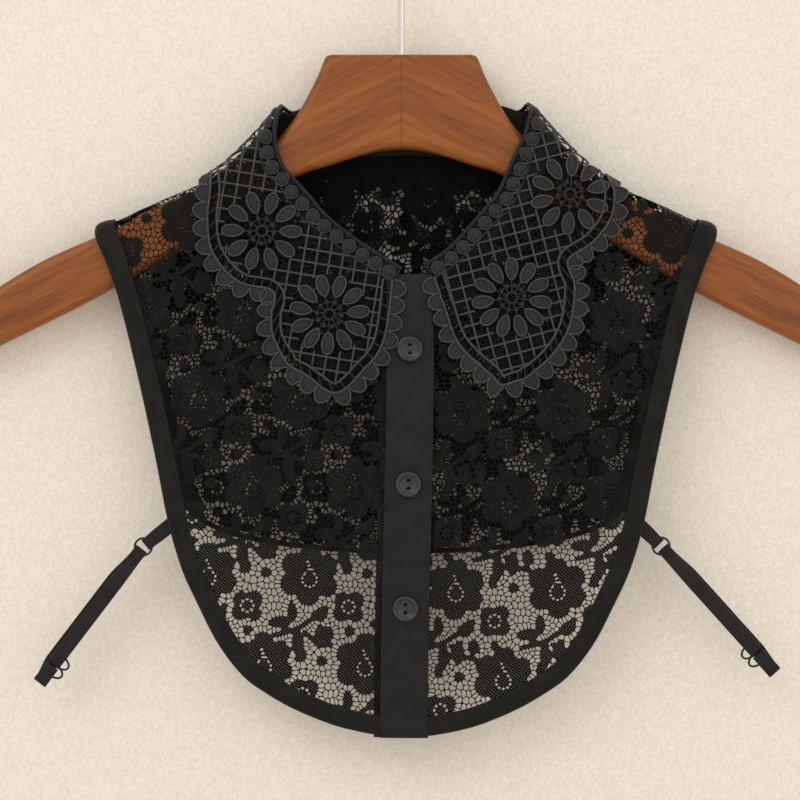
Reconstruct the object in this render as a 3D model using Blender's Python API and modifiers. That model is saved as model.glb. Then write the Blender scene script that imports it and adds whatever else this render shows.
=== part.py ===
"""False collar of black lace with a guipure collar, buttoned, on a shaped wooden hanger.

Lengths are written in millimetres times MM, so the model is in metres. Z is up, X runs to the right of
someone facing the front, and the front faces -Y. The origin is the point of the hook that bears on a rail.
The cloth lies over the hanger's arms: from a ridge line above each arm it rolls over a small radius and then
hangs down, in front and behind. A point of the cloth is named by its distance across from the garment's
centre and its distance along the cloth from the ridge, positive in front and negative behind.
"""

import math

import bmesh
import bpy
from mathutils import Vector
from mathutils.geometry import delaunay_2d_cdt

MM = 0.001
GAP = 0.3 * MM
OBJECT_NAME = "false_collar_on_hanger"

# Hanger
WOOD_THICK = 12.0 * MM
WOOD_ROUND = 4.0 * MM
WOOD_TOP = -92.0 * MM
WIRE = 3.2 * MM
HOOK_RADIUS = 19.0 * MM + WIRE / 2
BORE_DEPTH = 18.0 * MM

# Cloth
CENTRE_X = 2.2 * MM
LACE = 1.2 * MM
TAPE = 1.0 * MM
TAPE_WIDTH = 9.5 * MM
TAPE_LIFT = LACE / 2 + 1.9 * GAP + TAPE / 2
EDGE_IN_TAPE = TAPE / 2 + TAPE_LIFT + 2 * GAP
PLACKET = 1.2 * MM
PLACKET_WIDTH = 23.5 * MM
PLACKET_STEP = 3.0 * MM
PLACKET_LIFT = LACE / 2 + GAP + PLACKET / 2
PLACKET_TOP = -207.0 * MM
PLACKET_FOOT = -425.7 * MM
GUIPURE = 1.5 * MM
GUIPURE_LIFT = 0.9 * MM
RIDGE_SLANT = 1.12

# Buttons
BUTTON_RADIUS = 6.35 * MM
BUTTON_THICK = 2.6 * MM
BUTTON_HOLE = 0.9 * MM
BUTTON_HOLE_SPACING = 3.6 * MM
BUTTON_HEIGHTS = [-236.4 * MM, -302.3 * MM, -362.7 * MM]

# Straps
STRAP_WIDTH = 7.0 * MM
STRAP_THICK = 1.0 * MM
RING_RADIUS = 4.2 * MM
RING_WIRE = 1.0 * MM
TAB_UNDER_TAPE = 6.0 * MM

# Soft folds of the hanging cloth, in millimetres
FRONT_FULLNESS = 2.6
BACK_FULLNESS = 1.8
FOLD_WIDTH = 96.0
FOLD_DEPTH = 0.9
RIPPLE_WIDTH = 61.0
RIPPLE_DEPTH = 0.4

# Columns of the panels: beside the neck seam, then out to the armhole, in millimetres from the centre
NECK_STATIONS = [18.0, 27.0, 36.0, 44.0, 51.0, 57.0, 62.5, 67.0, 70.5, 73.0, 75.0, 76.0]
ARM_STATIONS = [84.0, 92.0, 100.0, 108.0, 116.0, 124.0, 132.0, 139.0]
ARM_COLUMN = 26.0 * MM
SEAM_GAP = 0.4 * MM
RIDGE_GAP = 0.3 * MM
DRIFT_REACH = 30.0 * MM
ROLL_ROWS = 5
INSET_BLEND = 25.0 * MM
FOLD_SAMPLES = 401

# The roll of the two layers of cloth over the arm
BASE_ROLL = 8.6 * MM
COLLAR_ROLL = 10.9 * MM

# Height of each layer's ridge line, by distance from the garment's centre. Inside the neck hole the line is
# a construction line only: it keeps the cloth behind it upright, clear of the wood.
RIDGE = [
    # across, base, collar
    (0.0, -106.0, -104.0),
    (44.0, -106.0, -104.0),
    (52.0, -110.0, -108.0),
    (58.0, -117.0, -114.3),
    (62.0, -120.8, -117.4),
    (66.5, -125.2, -121.6),
    (79.0, -138.2, -135.0),
    (91.0, -149.2, -146.0),
    (103.0, -156.4, -153.9),
    (115.0, -161.5, -159.2),
    (127.3, -166.8, -164.5),
    (139.5, -172.6, -170.3),
    (153.0, -177.4, -175.1),
]

# Outer edge of one front half, from the shoulder's tip round to the centre of the hem
FRONT_EDGE = [
    # across, height
    (152.4, -176.8),
    (151.6, -182.5),
    (147.0, -193.0),
    (140.2, -212.5),
    (130.5, -251.5),
    (122.0, -290.5),
    (116.2, -320.0),
    (109.6, -343.0),
    (101.5, -361.0),
    (91.5, -380.3),
    (79.3, -395.9),
    (67.0, -404.9),
    (54.9, -411.8),
    (42.7, -417.2),
    (30.5, -421.3),
    (14.0, -424.6),
    (0.0, -425.7),
]

# Outer edge of the back, half of it
BACK_EDGE = [
    # across, height
    (152.4, -176.8),
    (150.6, -182.5),
    (145.0, -193.0),
    (137.5, -212.5),
    (127.5, -251.5),
    (118.5, -290.5),
    (112.0, -310.0),
    (103.0, -320.5),
    (86.0, -328.5),
    (62.0, -333.5),
    (32.0, -336.5),
    (0.0, -337.5),
]

# Seam between the neck band and the panels: half of it, front and back
NECK_SEAM = [
    # across, height, side
    (10.5, -205.6, 1),
    (25.0, -197.0, 1),
    (45.0, -181.0, 1),
    (61.0, -163.0, 1),
    (70.5, -146.0, 1),
    (76.0, -135.2, 1),
    (71.0, -141.0, -1),
    (54.0, -142.0, -1),
    (28.0, -141.0, -1),
    (0.0, -140.5, -1),
]

# Fold line of the collar on each half: from the centre front up to the shoulder and round the back
FOLD_LEFT = [
    # across, height, side
    (2.0, -196.4, 1),
    (12.7, -189.6, 1),
    (24.9, -181.6, 1),
    (41.0, -168.0, 1),
    (53.2, -153.8, 1),
    (62.5, -138.5, 1),
    (61.2, -117.0, 1),
    (53.0, -118.0, -1),
    (28.0, -119.0, -1),
    (0.3, -119.5, -1),
]
FOLD_RIGHT = [
    # across, height, side
    (9.3, -194.6, 1),
    (21.5, -185.7, 1),
    (37.7, -167.8, 1),
    (45.0, -158.0, 1),
    (54.0, -138.5, 1),
    (58.5, -127.0, 1),
    (60.0, -116.6, 1),
    (53.0, -118.0, -1),
    (28.0, -119.0, -1),
    (0.3, -119.5, -1),
]

# Border cord of the guipure collar: two lobes in front, then over the shoulder and two lobes behind
CORD_LEFT = [
    # across, height, side
    (6.6, -202.7, 1),
    (8.8, -222.3, 1),
    (12.0, -235.3, 1),
    (19.2, -245.1, 1),
    (35.4, -257.9, 1),
    (53.7, -246.3, 1),
    (64.0, -232.0, 1),
    (65.7, -220.3, 1),
    (64.7, -208.6, 1),
    (81.8, -203.5, 1),
    (94.0, -189.7, 1),
    (96.8, -173.5, 1),
    (95.2, -155.6, 1),
]
CORD_RIGHT = [
    # across, height, side
    (13.7, -201.1, 1),
    (19.2, -217.4, 1),
    (26.0, -234.3, 1),
    (41.0, -248.6, 1),
    (48.8, -253.8, 1),
    (65.7, -244.7, 1),
    (78.7, -227.8, 1),
    (82.2, -206.5, 1),
    (79.0, -193.2, 1),
    (92.0, -183.5, 1),
    (100.0, -172.0, 1),
    (101.5, -160.0, 1),
    (99.0, -153.2, 1),
]
CORD_BACK = [
    # across, height, side
    (95.5, -163.0, -1),
    (88.5, -176.0, -1),
    (72.0, -182.5, -1),
    (56.0, -177.0, -1),
    (47.0, -168.0, -1),
    (39.0, -176.0, -1),
    (24.0, -181.5, -1),
    (9.0, -177.0, -1),
    (0.3, -168.0, -1),
]

# Embroidered flowers: centre and number of petals
FLOWERS_LEFT = [
    # across, height, side, petals
    (37.3, -219.6, 1, 11),
    (70.2, -179.0, 1, 10),
]
FLOWERS_RIGHT = [
    # across, height, side, petals
    (51.5, -211.5, 1, 11),
    (80.0, -161.1, 1, 10),
]
FLOWERS_BACK = [
    # across, height, side, petals
    (70.0, -158.5, -1, 10),
    (24.0, -157.0, -1, 11),
]
FLOWER_RADIUS = 20.0 * MM
PETAL_IN = 11.0 * MM
PETAL_OUT = 16.5 * MM
PETAL_RISE = 0.9 * MM
DOT_INSET = 5.6 * MM
DOT_PITCH = 7.5 * MM
DOT_RISE = 1.0 * MM
SCALLOP_PITCH = 8.3 * MM
SCALLOP_ROOT = 2.6 * MM
SCALLOP_DEPTH = 4.6 * MM
NET_PITCH = 6.3 * MM
NET_BAR = 1.3 * MM
NET_TILT_LEFT = math.radians(9.5)
NET_TILT_RIGHT = math.radians(15.0)
NET_TO_CORD = 8.0 * MM
NET_TO_FOLD = 12.0 * MM
NET_TO_FLOWER = 1.5 * MM
PLAIN_TURNS = 5
PLAIN_STEP = 13.0 * MM
ROLL_STEP = 5.6 * MM
NET_STEEP = 84.0 * MM

# Hanger outline, half of it: distance across, top and underside
HANGER_TOP = [
    # across, height
    (0.0, -92.0),
    (34.5, -92.0),
    (36.8, -92.9),
    (38.6, -96.5),
    (41.0, -102.5),
    (45.0, -110.5),
    (50.5, -120.5),
    (57.5, -130.0),
    (66.0, -138.5),
    (75.0, -144.5),
    (90.0, -152.5),
    (105.0, -160.0),
    (115.0, -164.3),
    (125.0, -168.6),
    (138.0, -176.4),
    (145.0, -179.8),
    (151.0, -182.0),
    (175.0, -192.8),
    (196.0, -205.2),
    (212.0, -217.0),
    (220.5, -226.0),
    (222.8, -234.0),
    (220.0, -241.5),
    (212.5, -242.6),
]
HANGER_UNDER = [
    # across, height
    (195.0, -233.8),
    (157.0, -215.0),
    (125.0, -197.2),
    (100.0, -182.0),
    (75.0, -166.0),
    (51.0, -151.6),
    (33.0, -145.6),
    (20.0, -141.4),
    (9.0, -139.0),
    (0.0, -138.4),
]


SQUARE = [(-1, -1), (1, -1), (1, 1), (-1, 1)]


def smoothstep(value: float) -> float:
    """0 below 0, 1 above 1, and a smooth rise between."""
    t = min(1.0, max(0.0, value))
    return t * t * (3.0 - 2.0 * t)


def table_value(rows: list, x: float, column: int) -> float:
    """A smooth reading of a table of millimetres at x metres, in metres."""
    x = min(max(x / MM, rows[0][0]), rows[-1][0])
    i = next(k for k in range(len(rows) - 1) if x <= rows[k + 1][0])

    def slope(k: int) -> float:
        low, high = max(k - 1, 0), min(k + 1, len(rows) - 1)
        return (rows[high][column] - rows[low][column]) / (rows[high][0] - rows[low][0])

    width = rows[i + 1][0] - rows[i][0]
    t = (x - rows[i][0]) / width
    a, b = rows[i][column], rows[i + 1][column]
    if a == b:
        return a * MM
    rise = (2 * t**3 - 3 * t**2 + 1) * a + (3 * t**2 - 2 * t**3) * b
    bend = (t**3 - 2 * t**2 + t) * slope(i) * width + (t**3 - t**2) * slope(i + 1) * width
    return (rise + bend) * MM


def smooth_path(points: list, step: float) -> list:
    """A smooth curve through 2D points, with samples about a step apart."""
    ends = [points[0]] + points + [points[-1]]
    path = []
    for a, b, c, d in zip(ends, ends[1:], ends[2:], ends[3:]):
        a, b, c, d = (Vector(p) for p in (a, b, c, d))
        pieces = max(1, round((c - b).length / step))
        for k in range(pieces):
            t = k / pieces
            path.append(
                0.5
                * (
                    2 * b
                    + (c - a) * t
                    + (2 * a - 5 * b + 4 * c - d) * t * t
                    + (3 * b - a - 3 * c + d) * t**3
                )
            )
    return path + [Vector(points[-1])]


def even_path(path: list, count: int) -> list:
    """The same curve with count samples, evenly spaced."""
    lengths = [0.0]
    for a, b in zip(path, path[1:]):
        lengths.append(lengths[-1] + (b - a).length)
    out, k = [], 0
    for i in range(count):
        want = lengths[-1] * i / (count - 1)
        while k < len(path) - 2 and lengths[k + 1] < want:
            k += 1
        span = max(lengths[k + 1] - lengths[k], 1e-9)
        out.append(path[k].lerp(path[k + 1], (want - lengths[k]) / span))
    return out


def across_at(flat: list, down: float) -> float:
    """Distance across of a flat edge where it is a distance down from the ridge."""
    for a, b in zip(flat, flat[1:]):
        if a.y >= -down >= b.y:
            return a.x + (b.x - a.x) * (a.y + down) / max(a.y - b.y, 1e-9)
    return flat[0].x


def down_at(flat: list, across: float) -> float:
    """Distance down from the ridge of a flat edge at a distance across."""
    for a, b in zip(flat, flat[1:]):
        if b.x <= across <= a.x:
            return -a.y - (b.y - a.y) * (a.x - across) / max(a.x - b.x, 1e-9)
    return -flat[-1].y


def offset_path(path: list, distance: float) -> list:
    """The curve moved sideways, to the left of its direction."""
    moved = []
    for i, p in enumerate(path):
        along = (path[min(i + 1, len(path) - 1)] - path[max(i - 1, 0)]).normalized()
        moved.append(p + Vector((-along.y, along.x)) * distance)
    return moved


def inside(point, polygon: list) -> bool:
    """Whether a 2D point lies in a closed polygon."""
    found = False
    for a, b in zip(polygon, polygon[1:] + polygon[:1]):
        if (a[1] > point[1]) != (b[1] > point[1]):
            if point[0] < (b[0] - a[0]) * (point[1] - a[1]) / (b[1] - a[1]) + a[0]:
                found = not found
    return found


class Layer:
    """One layer of the cloth as it lies over the hanger: its ridge line, and the roll over the arm."""

    def __init__(self, column: int, roll: float):
        self.column = column
        self.roll = roll
        self.quarter = roll * math.pi / 2

    def ridge(self, across: float) -> float:
        """Height of the ridge line."""
        return table_value(RIDGE, abs(across), self.column)

    def along(self, across: float, height: float, side: int) -> float:
        """Distance along the cloth from the ridge to a height, in front (1) or behind (-1)."""
        drop = max(0.0, self.ridge(across) - height)
        if drop < self.roll:
            return side * self.roll * math.acos(1 - drop / self.roll)
        return side * (self.quarter + drop - self.roll)

    def point(self, across: float, along: float, lift: float = 0.0) -> Vector:
        """The place in space of a point of the cloth, moved out by lift."""
        side = 1 if along >= 0 else -1
        far = abs(along)
        turn = min(far, self.quarter) / self.roll
        centre = self.ridge(across) - self.roll
        z = centre + (self.roll + lift * RIDGE_SLANT) * math.cos(turn) - max(0.0, far - self.quarter)
        y = (self.roll + lift) * math.sin(turn) + fullness(across, z, side)
        return Vector((across + CENTRE_X, -side * y, z))


def fullness(across: float, height: float, side: int) -> float:
    """How far the hanging cloth stands out, with its soft folds."""
    down = smoothstep((-height / MM - 185.0) / 130.0)
    wave = math.sin(across / MM * math.tau / FOLD_WIDTH + 0.6 * side)
    ripple = math.sin(across / MM * math.tau / RIPPLE_WIDTH + 2.0)
    depth = FRONT_FULLNESS if side > 0 else BACK_FULLNESS
    return (depth + FOLD_DEPTH * wave + RIPPLE_DEPTH * ripple) * down * MM


BASE = Layer(1, BASE_ROLL)
COLLAR = Layer(2, COLLAR_ROLL)


def material(name: str, colour: tuple, roughness: float, metallic: float = 0.0):
    """A Principled material."""
    made = bpy.data.materials.new(name)
    made.use_nodes = True
    shader = made.node_tree.nodes["Principled BSDF"]
    shader.inputs["Base Color"].default_value = (*colour, 1.0)
    shader.inputs["Roughness"].default_value = roughness
    shader.inputs["Metallic"].default_value = metallic
    return made


def add_object(name: str, data, look, collection):
    """Put a mesh or curve into the model."""
    made = bpy.data.objects.new(name, data)
    data.materials.append(look)
    collection.objects.link(made)
    return made


def strip_mesh(name: str, rows: list):
    """An open surface through rows of points, each row as long as the next."""
    width = len(rows[0])
    mesh = bpy.data.meshes.new(name)
    faces = []
    for i in range(len(rows) - 1):
        for j in range(width - 1):
            k = i * width + j
            faces.append((k, k + 1, k + width + 1, k + width))
    mesh.from_pydata([p for row in rows for p in row], [], faces)
    return mesh


def add_cloth(name: str, rows: list, thick: float, look, collection):
    """A piece of cloth of even thickness about a surface."""
    made = add_object(name, strip_mesh(name, rows), look, collection)
    made.data.shade_smooth()
    made.data.set_sharp_from_angle(angle=math.radians(50))
    wall = made.modifiers.new("Wall", "SOLIDIFY")
    wall.thickness = thick
    wall.offset = 0.0
    wall.use_even_offset = False
    return made


def curve_object(name: str, paths: list, look, collection, cyclic: bool, flat: bool = False):
    """A curve through the points of each path, flat or free."""
    curve = bpy.data.curves.new(name, "CURVE")
    curve.dimensions = "2D" if flat else "3D"
    for path in paths:
        spline = curve.splines.new("POLY")
        spline.points.add(len(path) - 1)
        for slot, p in zip(spline.points, path):
            slot.co = (*p, 1.0) if len(p) == 3 else (*p, 0.0, 1.0)
        spline.use_cyclic_u = cyclic
        spline.use_smooth = True
    return add_object(name, curve, look, collection)


def as_mesh(source, collection):
    """Turn a curve object into a mesh object with welded caps."""
    name, look = source.name, source.data.materials[0]
    graph = bpy.context.evaluated_depsgraph_get()
    mesh = bpy.data.meshes.new_from_object(source.evaluated_get(graph))
    place = source.matrix_world.copy()
    bpy.data.objects.remove(source)
    work = bmesh.new()
    work.from_mesh(mesh)
    bmesh.ops.remove_doubles(work, verts=work.verts, dist=0.00001)
    work.to_mesh(mesh)
    work.free()
    mesh.name = name
    made = bpy.data.objects.new(name, mesh)
    made.matrix_world = place
    if not mesh.materials:
        mesh.materials.append(look)
    collection.objects.link(made)
    return made


def build_wood(look, collection, cutters):
    """The shaped wooden hanger, with a bore for its hook."""
    half = [(x * MM, z * MM) for x, z in HANGER_TOP[1:] + HANGER_UNDER[:-1]]
    outline = [(0.0, WOOD_TOP)] + half + [(0.0, HANGER_UNDER[-1][1] * MM)] + [(-x, z) for x, z in reversed(half)]
    wood = curve_object("hanger_wood", [outline], look, collection, cyclic=True, flat=True)
    wood.data.fill_mode = "BOTH"
    wood.data.extrude = WOOD_THICK / 2 - WOOD_ROUND
    wood.data.bevel_depth = WOOD_ROUND
    wood.data.bevel_resolution = 1
    wood.data.offset = -WOOD_ROUND
    wood.rotation_euler.x = math.pi / 2
    bpy.context.view_layer.update()
    wood = as_mesh(wood, collection)
    work = bmesh.new()
    bmesh.ops.create_cone(
        work,
        cap_ends=True,
        segments=12,
        radius1=WIRE / 2 + GAP,
        radius2=WIRE / 2 + GAP,
        depth=2 * BORE_DEPTH,
    )
    bore_mesh = bpy.data.meshes.new("bore_cutter")
    work.to_mesh(bore_mesh)
    work.free()
    bore = bpy.data.objects.new("bore_cutter", bore_mesh)
    bore.location.z = WOOD_TOP
    bore.hide_render = True
    bore.display_type = "WIRE"
    cutters.objects.link(bore)
    cut = wood.modifiers.new("Bore", "BOOLEAN")
    cut.operation = "DIFFERENCE"
    cut.object = bore
    return wood


def build_hook(look, collection):
    """The wire hook: a shank in the wood, a bow over the rail and an end turned down."""
    centre = Vector((0.0, 0.0, -19.0 * MM))
    start = Vector((0.0, 0.0, WOOD_TOP - BORE_DEPTH + 1.0 * MM))
    bend = Vector((0.0, 0.0, -60.0 * MM))
    first = math.radians(-50.0)
    last = math.radians(200.0)
    join = centre + Vector((math.cos(first), 0.0, math.sin(first))) * HOOK_RADIUS
    rise = Vector((0.0, 0.0, 12.0 * MM))
    run = Vector((-math.sin(first), 0.0, math.cos(first))) * 12.0 * MM
    path = [start, start.lerp(bend, 0.5), bend]
    for k in range(1, 8):
        t = k / 8
        a, b, c, d = bend, bend + rise, join - run, join
        path.append((1 - t) ** 3 * a + 3 * (1 - t) ** 2 * t * b + 3 * (1 - t) * t * t * c + t**3 * d)
    turns = 26
    for k in range(turns + 1):
        angle = first + (last - first) * k / turns
        path.append(centre + Vector((math.cos(angle), 0.0, math.sin(angle))) * HOOK_RADIUS)
    hook = curve_object("hanger_hook", [path], look, collection, cyclic=False)
    hook.data.bevel_depth = WIRE / 2
    hook.data.bevel_resolution = 2
    hook.data.use_fill_caps = True
    return hook


def flat_edge(rows: list, side: int) -> list:
    """The outer edge of a panel laid out flat, from the shoulder's tip to the centre: distance across, and
    the distance down from the ridge counted as negative."""
    curve = smooth_path([(x * MM, z * MM) for x, z in rows], 2.0 * MM)
    return [Vector((p.x, -abs(BASE.along(p.x, p.y, side)))) for p in curve]


def inset_edge(edge: list, distance: float) -> list:
    """A flat edge moved in by a distance, measured along the cloth over the roll and in the plane of the
    hanging cloth below it."""
    hung = [Vector((p.x, BASE.ridge(p.x) + p.y)) for p in edge]
    moved = []
    for over, below in zip(offset_path(edge, -distance), offset_path(hung, -distance)):
        below = Vector((below.x, below.y - BASE.ridge(below.x)))
        moved.append(over.lerp(below, smoothstep((-over.y - BASE.quarter) / INSET_BLEND)))
    return moved


def sample_edge(flat: list, count: int) -> list:
    """Samples of a flat edge: in even turns down the roll, then count more, evenly spaced."""
    downs = [RIDGE_GAP] + [BASE.quarter * k / ROLL_ROWS for k in range(1, ROLL_ROWS + 3)]
    roll = [Vector((across_at(flat, s), -s)) for s in downs]
    rest = [p for p in flat if p.y < -downs[-1] - 1.0 * MM]
    return roll[:-1] + even_path(roll[-1:] + rest, count)


def placket_left(height: float) -> float:
    """Where the top placket's left edge runs: it drifts a little to the left on its way down."""
    return -9.8 * MM - 2.9 * MM * smoothstep((-height / MM - 240.0) / 180.0)


def loop_rows(rows: list, mirror: int) -> list:
    """A half table as points of the cloth: signed distance across, and distance along from the ridge."""
    out = []
    for across, height, side in rows:
        out.append((mirror * across * MM, BASE.along(across * MM, height * MM, side)))
    return out


def seam_down(across: float, side: int) -> float:
    """Distance down from the ridge to the neck seam, or to the shoulder seam outside it."""
    seam = [p for p in smooth_path(loop_rows(NECK_SEAM, 1), 1.0 * MM) if p.y * side >= 0]
    seam.sort(key=lambda p: p.x)
    for a, b in zip(seam, seam[1:]):
        if a.x <= across <= b.x and b.x > a.x:
            return abs(a.y + (b.y - a.y) * (across - a.x) / (b.x - a.x))
    return abs(seam[0].y) if across < seam[0].x else 0.0


def panel_rows(edge: list, inner: float, side: int, sign: int, foot_rows: int) -> list:
    """Rows of points down each column of a panel, closer together over the roll.

    The outermost column runs down the edge itself and the others hang straight down, but for those beside
    the placket, which drift with it.
    """
    outer = across_at(edge, ARM_COLUMN)
    stations = [x * MM for x in NECK_STATIONS + ARM_STATIONS if inner + 3 * MM < x * MM < outer - 1.5 * MM]
    rows = []
    for across in [outer] + stations[::-1] + [inner]:
        top = max(RIDGE_GAP, seam_down(across, side) + GAP / 2)
        bottom = down_at(edge, across)
        first = min(0.6 * (bottom - top), BASE.quarter)
        steps = [top + first * k / ROLL_ROWS for k in range(ROLL_ROWS)]
        steps += [top + first + (bottom - top - first) * k / foot_rows for k in range(foot_rows + 1)]
        places = [across_at(edge, s) if across == outer else across for s in steps]
        share = max(0.0, 1.0 - (across - inner) / DRIFT_REACH) if side > 0 else 0.0
        row = []
        for x, down in zip(places, steps):
            height = BASE.point(x, side * down).z
            drift = (placket_left(height) - placket_left(0)) * share
            row.append(BASE.point(sign * x + drift, side * down))
        rows.append(row)
    return rows


def build_front_panel(name: str, sign: int, look, collection):
    """One lace front, from the placket out to the tape."""
    edge = inset_edge(flat_edge(FRONT_EDGE, 1), EDGE_IN_TAPE)
    inner = -placket_left(0) + GAP if sign < 0 else placket_left(0) + PLACKET_WIDTH - PLACKET_STEP + GAP
    rows = panel_rows(edge, inner, 1, sign, 6)
    if sign > 0:
        rows.reverse()
    return add_cloth(name, rows, LACE, look, collection)


def build_back_panel(look, collection):
    """The lace back, in one piece from shoulder to shoulder."""
    edge = inset_edge(flat_edge(BACK_EDGE, -1), EDGE_IN_TAPE)
    left = panel_rows(edge, 0.0, -1, -1, 4)
    right = panel_rows(edge, 0.0, -1, 1, 4)[:-1]
    rows = left + right[::-1]
    return add_cloth("back_panel", rows[::-1], LACE, look, collection)


def tape_rows(edge: list, side: int, sign: int) -> list:
    """Rows across a tape folded over an edge: outer face, fold and inner face."""
    fold = inset_edge(edge, TAPE / 2 + TAPE_LIFT)
    brim = inset_edge(edge, TAPE / 2)
    inner = inset_edge(edge, TAPE_WIDTH)
    rows = []
    for a, b, c in zip(inner, fold, brim):
        line = [(a, TAPE_LIFT), (b, TAPE_LIFT), (c, 0.0), (b, -TAPE_LIFT), (a, -TAPE_LIFT)]
        rows.append([BASE.point(sign * p.x, side * max(RIDGE_GAP, -p.y), lift) for p, lift in line])
    return rows


def build_front_tape(name: str, sign: int, look, collection):
    """The tape along one front's armhole and hem, up to the placket."""
    stop = -placket_left(-425 * MM) + PLACKET_STEP + GAP
    if sign > 0:
        stop = placket_left(-425 * MM) + PLACKET_WIDTH + GAP
    edge = sample_edge([p for p in flat_edge(FRONT_EDGE, 1) if p.x > stop], 31)
    rows = tape_rows(edge, 1, sign)
    for p in rows[-1]:
        p.x = CENTRE_X + sign * stop
    if sign < 0:
        rows.reverse()
    return add_cloth(name, rows, TAPE, look, collection)


def build_back_tape(look, collection):
    """The tape along the back's two armholes and its hem."""
    edge = sample_edge(flat_edge(BACK_EDGE, -1), 23)
    rows = tape_rows(edge, -1, -1) + tape_rows(edge, -1, 1)[:-1][::-1]
    return add_cloth("back_tape", rows, TAPE, look, collection)


def build_placket(name: str, shift: float, lift: float, look, collection):
    """One strip of the buttoned front, folded from solid cloth."""
    rows = []
    for k in range(15):
        height = PLACKET_TOP + (PLACKET_FOOT - PLACKET_TOP) * k / 14
        left = placket_left(height) + shift
        row = []
        for j in range(4):
            across = left + PLACKET_WIDTH * j / 3
            row.append(BASE.point(across, BASE.along(across, height, 1), lift))
        rows.append(row[::-1])
    return add_cloth(name, rows, PLACKET, look, collection)


def build_neck_band(look, collection):
    """The band round the neck, one strip from the left front to the right front."""
    fold = loop_rows(FOLD_LEFT, -1)[:-1] + [(0.0, BASE.along(0.0, -119.5 * MM, -1))]
    fold = smooth_path(fold + loop_rows(FOLD_RIGHT, 1)[:-1][::-1], 2.0 * MM)
    front = [NECK_SEAM[0][0]] + NECK_STATIONS
    seam = [Vector((-x * MM, seam_down(x * MM, 1))) for x in front]
    seam += [Vector((-x * MM, -seam_down(x * MM, -1))) for x in NECK_STATIONS[-2::-1] + [0.0]]
    seam += [Vector((-p.x, p.y)) for p in seam[-2::-1]]
    far = [0.0]
    for a, b in zip(seam, seam[1:]):
        far.append(far[-1] + (b - a).length)
    fine = even_path(fold, FOLD_SAMPLES)
    rows = []
    for b, so_far in zip(seam, far):
        a = fine[round((FOLD_SAMPLES - 1) * so_far / far[-1])]
        b = b + (a - b).normalized() * SEAM_GAP
        line = [a.lerp(b, k / 3) for k in range(4)]
        rows.append([BASE.point(p.x, p.y) for p in line])
    return add_cloth("neck_band", rows, LACE, look, collection)


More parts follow.
